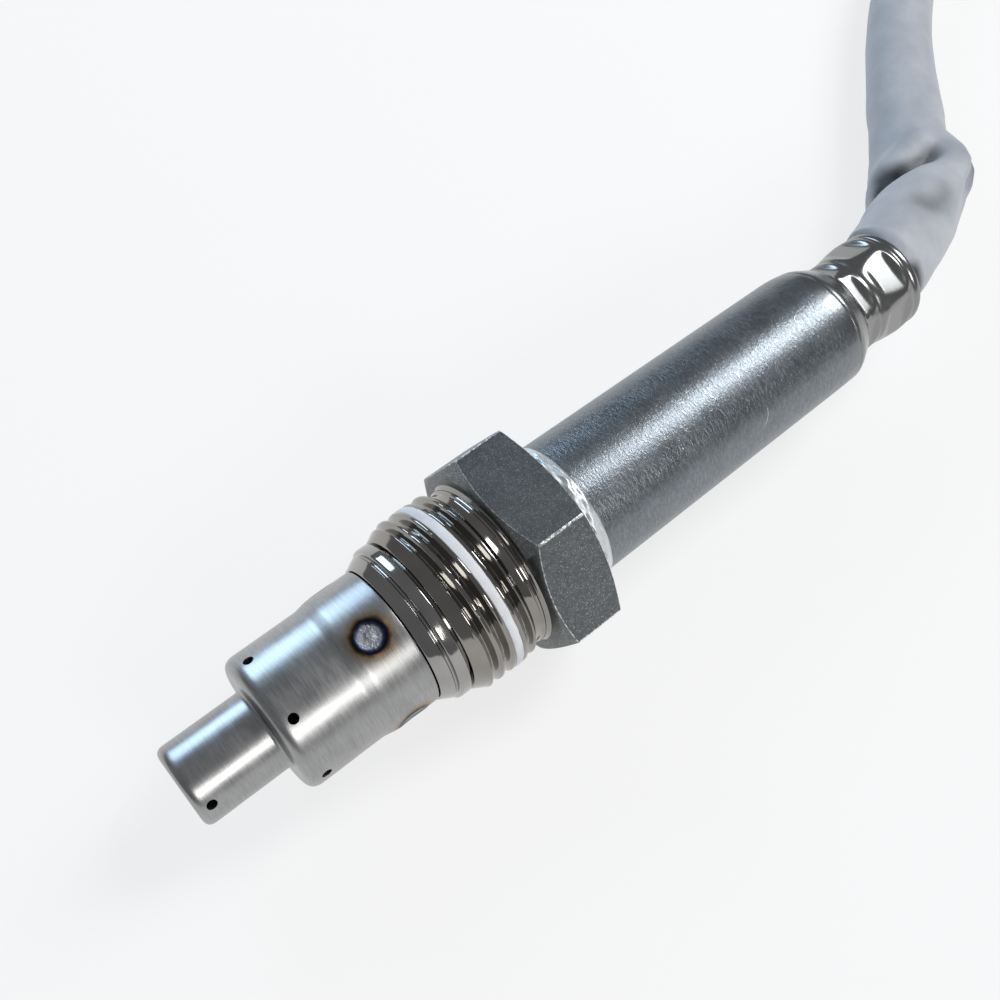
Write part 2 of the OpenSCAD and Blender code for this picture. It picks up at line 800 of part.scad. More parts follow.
// Silicone ring around the connector's front part
module connector_ring_seal() {
    start = boot_len + plug_body_len + 0.6;
    length = 3.4;
    step = plug_nose_step;
    color("orangered") difference() {
        union() {
            bevelled_box(start, length, plug_w - 2 * step + 1.4, step - 0.7, plug_h - step + 0.7, 1.4);
            for (rib = [0.5, 2.1])
                bevelled_box(
                    start + rib, 0.8, plug_w - 2 * step + 2.2,
                    step - 1.1, plug_h - step + 1.1, 1.6
                );
        }
        bevelled_box(
            start - 1, length + 2, plug_w - 2 * step + 2 * seat_gap,
            step - seat_gap, plug_h - step + seat_gap, 1
        );
    }
}

// Clip that locks the terminals in the housing
module connector_lock() {
    front = boot_len + plug_body_len;
    color("firebrick")
        translate([front - 5 + seat_gap, -plug_w / 2 - 0.5, plug_h / 2 - 1.6 + seat_gap])
            cube([2.4 - 2 * seat_gap, 2.7 - seat_gap, 3.2 - 2 * seat_gap]);
}

// Ribbed boot that closes the housing around the lead
module connector_boot() {
    rear_r = lead_d / 2 + 1;
    front_r = plug_h / 2 - 0.2;
    color(rubber) at_plug_axis()
        rotate_extrude() polygon([
            [0, 0], [rear_r, 0],
            [rear_r + 0.5, 2], [rear_r, 2.6], [rear_r + 0.6, 4.4], [rear_r, 5],
            [rear_r + 0.7, 6.8], [rear_r, 7.4], [front_r, boot_len - 2.4],
            [front_r, boot_len], [0, boot_len]
        ]);
}

// Puts what is modelled along Z onto the boot's axis
module at_plug_axis() {
    at_plug() translate([0, 0, boot_entry_z]) rotate([0, 90, 0]) children();
}

outer_cap();
inner_cap();
probe_shell();
union_nut();
antiseize_paste();
sleeve_weld_bead();
rear_sleeve();
sensing_element();
front_insulator();
powder_packing();
rear_insulator();
press_ring();
contact_holder();
contact_clamp();
contact_springs();
lead_wires();
seal_plug();
lead_tube();
lead_coil();
lead_tail();
at_plug() connector_housing();
at_plug() connector_terminals();
at_plug() connector_ring_seal();
at_plug() connector_lock();
connector_boot();
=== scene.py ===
"""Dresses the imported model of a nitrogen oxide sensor's probe and lead.

The probe lies along X with its vented cap towards -X. Lengths in this file are
in millimetres until a mesh is made, and meshes are in metres.
"""

from __future__ import annotations

import logging
import math
from dataclasses import dataclass, field
from enum import Enum
from typing import Callable, Sequence

import bmesh
import bpy
from mathutils import Matrix, Vector, noise

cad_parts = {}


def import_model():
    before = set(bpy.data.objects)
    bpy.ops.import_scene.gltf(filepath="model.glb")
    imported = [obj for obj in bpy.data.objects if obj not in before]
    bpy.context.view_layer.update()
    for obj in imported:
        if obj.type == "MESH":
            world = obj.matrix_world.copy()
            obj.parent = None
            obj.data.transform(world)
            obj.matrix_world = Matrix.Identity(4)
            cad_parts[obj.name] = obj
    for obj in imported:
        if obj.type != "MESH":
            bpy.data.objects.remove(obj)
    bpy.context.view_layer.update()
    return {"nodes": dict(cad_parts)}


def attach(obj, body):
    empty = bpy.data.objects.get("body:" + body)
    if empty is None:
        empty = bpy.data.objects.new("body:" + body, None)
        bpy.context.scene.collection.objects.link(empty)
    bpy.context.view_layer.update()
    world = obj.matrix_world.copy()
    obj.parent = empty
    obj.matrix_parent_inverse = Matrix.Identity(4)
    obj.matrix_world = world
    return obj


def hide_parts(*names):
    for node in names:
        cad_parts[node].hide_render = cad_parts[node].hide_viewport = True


LOG = logging.getLogger("sensor")
PROBE = "probe"
NUT = "nut"
MM = 0.001
# Height of the probe's axis above the floor
AXIS_Z = 11.0
# Place of the camera, which the lead's fold is turned to
EYE = (-40.868, -49.855, 124.262)
# Degrees from one flat of a hexagon to the next
HEX_STEP = 60.0
# Most of a noise pattern lies between these two
NOISE_LOW, NOISE_HIGH = 0.3, 0.7

Piece = bpy.types.Object
Material = bpy.types.Material
Socket = bpy.types.NodeSocket
Point = tuple[float, float, float]
Color = tuple[float, float, float]
Place = tuple[float, float]


class Grain(Enum):
    """Run of a worked metal's fine lines, as the pattern's pace along X, Y and Z."""

    AROUND = (1.0, 0.07, 0.07)
    ALONG = (0.04, 1.0, 1.0)
    EVEN = (1.0, 1.0, 1.0)


class Cut(Enum):
    """Ways in which one solid shapes another."""

    AWAY = "DIFFERENCE"
    SHARED = "INTERSECT"


def ease(value: float, low: float, high: float) -> float:
    """Rises smoothly from 0 to 1.

    Args:
        value: number to place.
        low: place of 0.
        high: place of 1.

    Returns:
        The eased share.
    """
    share = min(max((value - low) / (high - low), 0.0), 1.0)
    return share * share * (3 - 2 * share)


def along(pairs: Sequence[Place], value: float) -> float:
    """Reads a line of pairs at a value.

    Args:
        pairs: places and what they give, places rising.
        value: place to read.

    Returns:
        What the line gives there.
    """
    if value <= pairs[0][0]:
        return pairs[0][1]
    for (x0, y0), (x1, y1) in zip(pairs, pairs[1:]):
        if value <= x1:
            return y0 + (y1 - y0) * (value - x0) / (x1 - x0)
    return pairs[-1][1]


def turn_apart(turn: float, other: float = 0.0, cycle: float = 360.0) -> float:
    """Gives the angle from one turn to another.

    Args:
        turn: angle in degrees.
        other: angle in degrees to count from.
        cycle: degrees after which the form repeats.

    Returns:
        Degrees from minus half a cycle to half a cycle.
    """
    return (turn - other + cycle / 2) % cycle - cycle / 2


def polar(y: float, z: float) -> Place:
    """Gives the radius and the turn in degrees of a point counted from the axis."""
    return math.hypot(y, z), math.degrees(math.atan2(-y, z))


def gray(level: float) -> Color:
    """Makes a colour without a hue."""
    return (level, level, level)


def shaded(color: Color, share: float) -> Color:
    """Makes a colour darker or lighter."""
    return tuple(part * share for part in color)


@dataclass(frozen=True)
class Dent:
    """A soft dent in a skin, or a bulge where its depth is negative."""

    run: float
    turn: float
    reach: float
    spread: float
    depth: float

    def at(self, run: float, turn: float) -> float:
        """Gives its depth at a place on the skin, in mm."""
        across = turn_apart(turn, self.turn) / self.spread
        return self.depth * math.exp(-((run - self.run) / self.reach) ** 2 - across * across)


# Shapes


def softened(corners: Sequence[Point], steps: int = 6) -> list[Place]:
    """Rounds the corners of a line.

    Args:
        corners: place, radius and how much of the corner is cut, in mm.
        steps: pieces in each rounded corner.

    Returns:
        Places and radii of the rounded line.
    """
    line: list[Place] = []
    for i, (x, r, cut) in enumerate(corners):
        here = Vector((x, r))
        if cut == 0 or i in (0, len(corners) - 1):
            line.append((x, r))
            continue
        start = here + (Vector(corners[i - 1][:2]) - here).normalized() * cut
        end = here + (Vector(corners[i + 1][:2]) - here).normalized() * cut
        for k in range(steps + 1):
            t = k / steps
            point = start * (1 - t) ** 2 + here * 2 * t * (1 - t) + end * t * t
            line.append((point.x, point.y))
    return line


def dense(line: Sequence[Place], step: float) -> list[Place]:
    """Splits the long stretches of a line.

    Args:
        line: places and radii.
        step: longest stretch in mm.

    Returns:
        The line with more points.
    """
    out: list[Place] = []
    for (x0, r0), (x1, r1) in zip(line, line[1:]):
        parts = max(1, math.ceil(math.hypot(x1 - x0, r1 - r0) / step))
        for k in range(parts):
            out.append((x0 + (x1 - x0) * k / parts, r0 + (r1 - r0) * k / parts))
    out.append(line[-1])
    return out


def spun(line: Sequence[Place], steps: int, closed: bool = True) -> bmesh.types.BMesh:
    """Spins a line once around the probe's axis.

    Args:
        line: places and radii in mm.
        steps: faces around.
        closed: whether the last point joins the first one.

    Returns:
        The turned mesh.
    """
    bm = bmesh.new()
    verts = [bm.verts.new((x * MM, 0, (AXIS_Z + r) * MM)) for x, r in line]
    edges = [bm.edges.new(pair) for pair in zip(verts, verts[1:])]
    if closed:
        edges.append(bm.edges.new((verts[-1], verts[0])))
    bmesh.ops.spin(
        bm, geom=verts + edges, cent=(0, 0, AXIS_Z * MM), axis=(1, 0, 0),
        dvec=(0, 0, 0), angle=math.tau, steps=steps, use_merge=True,
    )
    bmesh.ops.remove_doubles(bm, verts=bm.verts[:], dist=1e-7)
    return bm


def reshape(bm: bmesh.types.BMesh, shape: Callable[[float, float, float], Place]) -> None:
    """Moves each vertex of a turned mesh along the axis and outwards.

    Args:
        bm: mesh to change.
        shape: gives a new place and radius from a place, a radius and a turn in degrees.
    """
    for vert in bm.verts:
        y, z = vert.co.y / MM, vert.co.z / MM - AXIS_Z
        r, turn = polar(y, z)
        if r < 1e-6:
            continue
        x, new_r = shape(vert.co.x / MM, r, turn)
        vert.co = (x * MM, y * new_r / r * MM, (AXIS_Z + z * new_r / r) * MM)


def rod(x: float, turn: float, start: float, end: float, r: float) -> bmesh.types.BMesh:
    """Makes a round rod that stands out from the probe's axis.

    Args:
        x: place along the axis.
        turn: angle from straight up towards -Y, in degrees.
        start: distance of its lower end from the axis.
        end: distance of its upper end.
        r: its radius.

    Returns:
        The rod's mesh.
    """
    bm = bmesh.new()
    bmesh.ops.create_cone(
        bm, cap_ends=True, segments=40, radius1=r * MM, radius2=r * MM,
        depth=(end - start) * MM,
    )
    place = Matrix.Translation((x * MM, 0, AXIS_Z * MM)) @ Matrix.Rotation(
        math.radians(turn), 4, "X"
    ) @ Matrix.Translation((0, 0, (start + end) / 2 * MM))
    bmesh.ops.transform(bm, matrix=place, verts=bm.verts[:])
    return bm


def link(thing: Piece) -> None:
    """Puts an object into the scene."""
    bpy.context.scene.collection.objects.link(thing)


def put(bm: bmesh.types.BMesh, name: str, sharp: float | None = None) -> Piece:
    """Makes an object of a mesh and frees the mesh.

    Args:
        bm: finished mesh.
        name: name of the object.
        sharp: angle in degrees from which an edge stays sharp, or none to leave it flat.

    Returns:
        The linked object.
    """
    bmesh.ops.recalc_face_normals(bm, faces=bm.faces[:])
    mesh = bpy.data.meshes.new(name)
    bm.to_mesh(mesh)
    bm.free()
    piece = bpy.data.objects.new(name, mesh)
    link(piece)
    if sharp is not None:
        smooth(piece, sharp)
    return piece


def carve(piece: Piece, tool: Piece, how: Cut) -> None:
    """Shapes a piece with another one, which is then removed.

    Args:
        piece: what is shaped.
        tool: what it is shaped with.
        how: whether the tool is taken away or only what both share stays.
    """
    modifier = piece.modifiers.new("carve", "BOOLEAN")
    modifier.operation, modifier.solver, modifier.object = how.value, "EXACT", tool
    graph = bpy.context.evaluated_depsgraph_get()
    graph.update()
    mesh = bpy.data.meshes.new_from_object(piece.evaluated_get(graph))
    piece.modifiers.clear()
    piece.data = mesh
    bpy.data.objects.remove(tool)


def smooth(piece: Piece, sharp: float) -> None:
    """Shades a piece smooth except at its sharp edges.

    Args:
        piece: piece with a mesh.
        sharp: angle in degrees from which an edge stays sharp.
    """
    bm = bmesh.new()
    bm.from_mesh(piece.data)
    for face in bm.faces:
        face.smooth = True
    limit = math.radians(sharp)
    for edge in bm.edges:
        edge.smooth = len(edge.link_faces) == 2 and edge.calc_face_angle(0.0) < limit
    bm.to_mesh(piece.data)
    bm.free()


def note(piece: Piece, name: str, reading: Callable[[Vector], float]) -> None:
    """Keeps a number at each point of a piece for its material.

    Args:
        piece: piece with a mesh.
        name: name of the attribute.
        reading: gives the number from a point in mm, counted from the axis.
    """
    layer = piece.data.attributes.new(name, "FLOAT", "POINT")
    axis = Vector((0, 0, AXIS_Z))
    layer.data.foreach_set(
        "value", [reading(vert.co / MM - axis) for vert in piece.data.vertices]
    )


def mark_inside(
    piece: Piece, also: Callable[[Vector, Vector], bool], inward: float = -0.2,
) -> None:
    """Gives the faces on a hollow piece's inner side the second material.

    Args:
        piece: piece with a mesh.
        also: tells from a face's way out from the axis, in metres, and its normal whether
            it counts as inside too.
        inward: how far a normal has to point at the axis.
    """
    for face in piece.data.polygons:
        out = Vector((0, face.center.y, face.center.z - AXIS_Z * MM))
        turned = face.normal.dot(out.normalized()) < inward
        face.material_index = int(turned or also(out, face.normal))


def dress(
    piece: Piece, body: str,
    materials: Sequence[Material], stands_for: Sequence[str] = (),
) -> Piece:
    """Gives a piece its materials and its body, and hides the CAD nodes that it stands for.

    Args:
        piece: piece in its place.
        body: CAD body that it rides on.
        materials: materials in the order of the mesh's indices.
        stands_for: CAD nodes that it replaces.

    Returns:
        The same piece.
    """
    indices = [face.material_index for face in piece.data.polygons]
    piece.data.materials.clear()
    for material in materials:
        piece.data.materials.append(material)
    piece.data.polygons.foreach_set("material_index", indices)
    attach(piece, body)
    if stands_for:
        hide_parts(*stands_for)
    LOG.info("%s rides on %s, %d faces", piece.name, body, len(piece.data.polygons))
    return piece


# Finishes


class Bench:
    """One material's node tree, with short ways to add to it."""

    def __init__(self, name: str) -> None:
        """Starts a material with a shader and millimetre coordinates.

        Args:
            name: name of the material.
        """
        self.material = bpy.data.materials.new(name)
        self.material.use_nodes = True
        self.tree = self.material.node_tree
        self.tree.nodes.clear()
        self.shader = self.node("ShaderNodeBsdfPrincipled")
        self.output = self.node(
            "ShaderNodeOutputMaterial", Surface=self.shader.outputs["BSDF"],
        )
        coords = self.node("ShaderNodeTexCoord").outputs["Object"]
        centred = self.node(
            "ShaderNodeMapping", Vector=coords, Scale=gray(1 / MM), Location=(0, 0, -AXIS_Z),
        )
        self.place = centred.outputs["Vector"]

    def node(self, kind: str, **inputs: object) -> bpy.types.Node:
        """Adds a node of a kind and feeds its inputs."""
        node = self.tree.nodes.new(kind)
        self.fill(node, **inputs)
        return node

    def fill(self, node: bpy.types.Node, **inputs: object) -> None:
        """Feeds a node's inputs, named with underscores for spaces."""
        for name, value in inputs.items():
            self.feed(node.inputs[name.replace("_", " ")], value)

    def set(self, **inputs: object) -> None:
        """Feeds the shader's inputs."""
        self.fill(self.shader, **inputs)

    def join(self, start: Socket, end: Socket) -> None:
        """Links one socket to another."""
        self.tree.links.new(start, end)

    def feed(self, socket: Socket, value: object) -> None:
        """Links a socket to another, or sets its constant.

        Args:
            socket: input to feed.
            value: an output socket, a number, a colour or a vector.
        """
        if isinstance(value, Socket):
            self.join(value, socket)
        elif isinstance(value, (int, float)):
            socket.default_value = value
        else:
            socket.default_value = (*value, 1.0) if socket.type == "RGBA" else tuple(value)

    def noise(
        self, size: float, detail: float = 3.0, rough: float = 0.5,
        stretch: Color = (1.0, 1.0, 1.0), twist: float = 0.0,
    ) -> Socket:
        """Adds a noise pattern.

        Args:
            size: size of its patches in mm.
            detail: layers of finer noise.
            rough: strength of the finer layers.
            stretch: how fast the pattern runs along X, Y and Z.
            twist: how far it is warped.

        Returns:
            The pattern, from 0 to 1.
        """
        scaled = self.node("ShaderNodeMapping", Vector=self.place, Scale=stretch)
        return self.node(
            "ShaderNodeTexNoise", Vector=scaled.outputs["Vector"], Scale=1 / size,
            Detail=detail, Roughness=rough, Distortion=twist,
        ).outputs["Fac"]

    def specks(self, size: float) -> Socket:
        """Gives each small cell of the surface its own number from 0 to 1."""
        cells = self.node("ShaderNodeTexVoronoi", Vector=self.place, Scale=1 / size)
        return self.node("ShaderNodeSeparateColor", Color=cells.outputs["Color"]).outputs["Red"]

    def kept(self, name: str) -> Socket:
        """Reads a number that the mesh keeps at its points."""
        attribute = self.node("ShaderNodeAttribute")
        attribute.attribute_name = name
        return attribute.outputs["Fac"]

    def axial(self) -> Socket:
        """Reads the place along the probe's axis in mm."""
        return self.node("ShaderNodeSeparateXYZ", Vector=self.place).outputs["X"]

    def away(self, point: Point) -> Socket:
        """Measures how far the surface is from a point, in mm."""
        measure = self.node("ShaderNodeVectorMath")
        measure.operation = "DISTANCE"
        self.join(self.place, measure.inputs[0])
        self.feed(measure.inputs[1], point)
        return measure.outputs["Value"]

    def vary(self, pattern: Socket, middle: float, by: float) -> Socket:
        """Makes a noise pattern a number that varies around a middle."""
        return self.spread(pattern, NOISE_LOW, NOISE_HIGH, middle - by, middle + by)

    def spread(
        self, value: Socket, low: float, high: float,
        to_low: float = 0.0, to_high: float = 1.0,
    ) -> Socket:
        """Maps one range of numbers to another and clamps it.

        Args:
            value: number to map.
            low: start of its range.
            high: end of its range.
            to_low: what the start becomes.
            to_high: what the end becomes.

        Returns:
            The mapped number.
        """
        return self.node(
            "ShaderNodeMapRange", Value=value, From_Min=low, From_Max=high,
            To_Min=to_low, To_Max=to_high,
        ).outputs["Result"]

    def sum(self, kind: str, first: object, second: object = 0.0) -> Socket:
        """Does one sum.

        Args:
            kind: name of the operation.
            first: number or socket.
            second: number or socket.

        Returns:
            The result.
        """
        operation = self.node("ShaderNodeMath")
        operation.operation = kind
        self.feed(operation.inputs[0], first)
        self.feed(operation.inputs[1], second)
        return operation.outputs["Value"]

    def times(self, first: object, second: object) -> Socket:
        """Multiplies two numbers."""
        return self.sum("MULTIPLY", first, second)

    def ramp(
        self, value: Socket, stops: Sequence[tuple[float, Color]],
    ) -> Socket:
        """Colours a number from 0 to 1.

        Args:
            value: number to colour.
            stops: places and colours, places rising.

        Returns:
            The colour.
        """
        ramp = self.node("ShaderNodeValToRGB")
        bar = ramp.color_ramp.elements
        while len(bar) < len(stops):
            bar.new(0.5)
        for mark, (place, color) in zip(bar, stops):
            mark.position = place
            mark.color = (*color, 1.0)
        self.join(value, ramp.inputs["Fac"])
        return ramp.outputs["Color"]

    def blend(
        self, share: object, first: object, second: object, kind: str = "MIX",
    ) -> Socket:
        """Mixes two colours.

        Args:
            share: share of the second one.
            first: colour or socket.
            second: colour or socket.
            kind: way of mixing.

        Returns:
            The mixed colour.
        """
        mix = self.node("ShaderNodeMix")
        mix.data_type, mix.blend_type = "RGBA", kind
        self.feed(mix.inputs[0], share)
        self.feed(mix.inputs[6], first)
        self.feed(mix.inputs[7], second)
        return mix.outputs[2]

    def emboss(self, layers: Sequence[tuple[Socket, float]]) -> None:
        """Raises the surface by one or more patterns.

        Args:
            layers: patterns from 0 to 1 and their depth in mm.
        """
        normal = None
        for height, depth in layers:
            bump = self.node("ShaderNodeBump", Strength=1.0, Distance=depth * MM, Height=height)
            if normal is not None:
                self.join(normal, bump.inputs["Normal"])
            normal = bump.outputs["Normal"]
        self.set(Normal=normal)


@dataclass(frozen=True)
class Metal:
    """A worked metal with fine lines, patches and grain."""

    name: str
    color: Color
    rough: float
    grain: Grain = Grain.AROUND
    line: float = 0.12
    line_depth: float = 0.002
    patch: float = 0.06
    shade: float = 0.88
    spread: float = 0.06
    streak: float = 0.0

    def begin(self) -> tuple[Bench, *tuple[Socket, ...]]:
        """Starts the material.

        Returns:
            The bench, its colour, its roughness and its lines, all still to be joined.
        """
        bench = Bench(self.name)
        lines = bench.noise(self.line, 4, 0.6, self.grain.value)
        patches = bench.noise(3.0, 3, 0.55)
        color = bench.ramp(patches, [(0.35, shaded(self.color, self.shade)), (0.65, self.color)])
        streaks = bench.ramp(lines, [
            (0.32, gray(1 - self.streak)), (0.68, gray(1 + self.streak)),
        ])
        color = bench.blend(1.0, color, streaks, "MULTIPLY")
        gloss = bench.sum(
            "ADD", bench.vary(lines, self.rough, self.spread),
            bench.vary(patches, 0.0, self.patch / 2),
        )
        bench.set(Metallic=1.0)
        return bench, color, gloss, lines

    def material(self) -> Material:
        """Makes the material."""
        bench, color, gloss, lines = self.begin()
        bench.set(Base_Color=color, Roughness=gloss)
        bench.emboss([(lines, self.line_depth)])
        return bench.material


@dataclass(frozen=True)
class TintedSteel(Metal):
    """Drawn stainless steel with tempering colours around its weld spots."""

    attribute: str = "weld_mm"
    tint_reach: float = 4.0
    tints: tuple[tuple[float, Color], ...] = (
        (0.0, (0.78, 0.78, 0.84)), (0.27, (0.7, 0.72, 0.8)), (0.33, (0.1, 0.13, 0.22)),
        (0.39, (0.02, 0.03, 0.07)), (0.43, (0.06, 0.04, 0.05)), (0.475, (0.28, 0.16, 0.07)),
        (0.54, (0.75, 0.6, 0.42)), (0.68, (0.95, 0.9, 0.84)), (0.85, (1, 1, 1)),
    )
    melted_edge: Place = (1.0, 1.5)

    def material(self) -> Material:
        """Makes the material."""
        bench, color, gloss, lines = self.begin()
        wander = bench.vary(bench.noise(1.3, 2), 0.0, 0.1)
        away = bench.sum("ADD", bench.kept(self.attribute), wander)
        tint = bench.ramp(bench.sum("DIVIDE", away, self.tint_reach), self.tints)
        melted = bench.spread(away, *self.melted_edge, 1.0, 0.0)
        swirl = bench.noise(0.6, 3, 0.6, twist=1.4)
        bench.set(
            Base_Color=bench.blend(1.0, color, tint, "MULTIPLY"),
            Roughness=bench.sum("ADD", gloss, bench.times(melted, 0.12)),
        )
        bench.emboss([
            (lines, self.line_depth), (bench.noise(0.16, 3, 0.6), 0.005),
            (bench.times(swirl, melted), 0.12),
        ])
        return bench.material


@dataclass(frozen=True)
class BlastedSteel(Metal):
    """Matt plated steel with fine sparkling grains."""

    wear: float = 0.0
    bright_color: Color = (0.6, 0.62, 0.64)
    mottle_depth: float = 0.015

    def material(self) -> Material:
        """Makes the material."""
        bench, color, gloss, _ = self.begin()
        mottle = bench.noise(0.5, 4, 0.65)
        cloud = bench.ramp(mottle, [(NOISE_LOW, gray(0.8)), (NOISE_HIGH, gray(1.2))])
        bright = bench.spread(bench.specks(0.09), 0.88, 0.98, 0.0, 0.5)
        if self.wear:
            rubbed = bench.noise(0.35, 4, 0.7)
            worn = bench.spread(rubbed, 0.62 - self.wear, 0.7 - self.wear)
            bright = bench.sum("MAXIMUM", bench.times(bright, 0.6), worn)
        color = bench.blend(1.0, color, cloud, "MULTIPLY")
        bench.set(
            Base_Color=bench.blend(bright, color, self.bright_color),
            Roughness=bench.sum("SUBTRACT", gloss, bench.times(bright, 0.16)),
        )
        bench.emboss([(bench.noise(0.16, 4, 0.7), 0.02), (mottle, self.mottle_depth)])
        return bench.material


@dataclass(frozen=True)
class Scratch:
    """A short curved scratch: part of a ball's cut through the surface."""

    x: float
    turn: float
    reach: float
    lean: float


@dataclass(frozen=True)
class GroundTube(Metal):
    """Ground steel tube with scratches, polished where it is crimped."""

    tube_r: float = 7.75
    polish: Place = (42.0, 46.0)
    polished_rough: float = 0.23
    polished_color: Color = (0.27, 0.27, 0.265)
    tick_color: Color = (0.6, 0.63, 0.66)
    cut_rough: float = 0.2
    cut_color: Color = (0.85, 0.87, 0.88)
    scratches: tuple[Scratch, ...] = ()

    def point(self, x: float, turn: float) -> Point:
        """Gives a point on the tube, counted from its axis."""
        angle = math.radians(turn)
        return (x, -self.tube_r * math.sin(angle), self.tube_r * math.cos(angle))

    def material(self) -> Material:
        """Makes the material."""
        bench, color, gloss, lines = self.begin()
        polish = bench.spread(bench.axial(), *self.polish)
        ticks = bench.spread(bench.noise(0.26, 3, 0.65, (1.0, 0.4, 0.4), 0.6), 0.42, 0.66)
        marks = self.marks(bench)
        rough = bench.blend(marks, gloss, gray(self.cut_rough))
        color = bench.blend(bench.times(ticks, 0.16), color, self.tick_color)
        color = bench.blend(bench.times(marks, 0.55), color, self.cut_color)
        bench.set(
            Base_Color=bench.blend(polish, color, self.polished_color),
            Roughness=bench.blend(polish, rough, gray(self.polished_rough)),
        )
        matt = bench.sum("SUBTRACT", 1.0, polish)
        bench.emboss([
            (bench.times(lines, matt), self.line_depth),
            (bench.times(ticks, matt), 0.014), (marks, 0.006),
        ])
        return bench.material

    def marks(self, bench: Bench) -> Socket:
        """Draws all scratches.

        Args:
            bench: the material's bench.

        Returns:
            1 on a scratch and 0 beside it.
        """
        total: object = 0.0
        ahead = Vector((1, 0, 0))
        for scratch in self.scratches:
            reach, lean = scratch.reach, math.radians(scratch.lean)
            middle = Vector(self.point(scratch.x, scratch.turn))
            side = Vector(self.point(0, scratch.turn + 90)).normalized()
            centre = middle + (ahead * math.cos(lean) + side * math.sin(lean)) * reach
            off_ball = bench.sum("SUBTRACT", bench.away(centre), reach)
            line = bench.spread(bench.sum("ABSOLUTE", off_ball), 0.02, 0.06, 1.0, 0.0)
            near = bench.spread(bench.away(middle), reach * 0.45, reach * 0.7, 1.0, 0.0)
            total = bench.sum("MAXIMUM", total, bench.times(line, near))
        return total


@dataclass(frozen=True)
class Matt:
    """A paste, rubber, ceramic or moulding."""

    name: str
    color: Color
    rough: float
    grain: float = 0.25
    depth: float = 0.01
    shade: float = 0.85
    spread: float = 0.06

    def material(self) -> Material:
        """Makes the material."""
        bench = Bench(self.name)
        cloud = bench.noise(self.grain * 8, 3)
        bench.set(
            Base_Color=bench.ramp(
                cloud, [(0.35, shaded(self.color, self.shade)), (0.65, self.color)],
            ),
            Roughness=bench.vary(cloud, self.rough, self.spread),
        )
        bench.emboss([(bench.noise(self.grain, 4, 0.6), self.depth)])
        return bench.material


@dataclass(frozen=True)
class SoftSleeve:
    """The lead's coated sleeve, with painted shade in its fold and behind the crimp."""

    name: str = "soft_blue_grey_sleeve"
    color: Color = (0.5, 0.515, 0.555)
    hair_color: Color = (0.62, 0.64, 0.7)
    # Near-black colour of the painted shade
    painted_shade_color: Color = (0.006, 0.006, 0.006)
    fold_and_painted_shade: str = "fold_and_painted_shade"

    def material(self) -> Material:
        """Makes the material."""
        bench = Bench(self.name)
        cloud = bench.noise(5.0, 4, 0.55)
        hair = bench.noise(0.5, 3, 0.5, (1.0, 0.35, 1.0), 0.5)
        color = bench.ramp(cloud, [
            (NOISE_LOW, shaded(self.color, 0.8)), (NOISE_HIGH, self.color),
        ])
        color = bench.blend(bench.times(hair, 0.12), color, self.hair_color)
        # Painted shade: the kept attribute blends the colour towards near black in the fold's
        # crease, in patches and behind the crimp's lip
        color = bench.blend(bench.kept(self.fold_and_painted_shade), color, self.painted_shade_color)
        bench.set(
            Base_Color=color, Roughness=bench.vary(cloud, 0.49, 0.07),
            Sheen_Weight=0.15, Sheen_Roughness=0.4,
        )
        bench.emboss([(bench.noise(0.7, 4, 0.55), 0.05), (bench.noise(3.5, 2), 0.2)])
        return bench.material


# Pieces of the probe


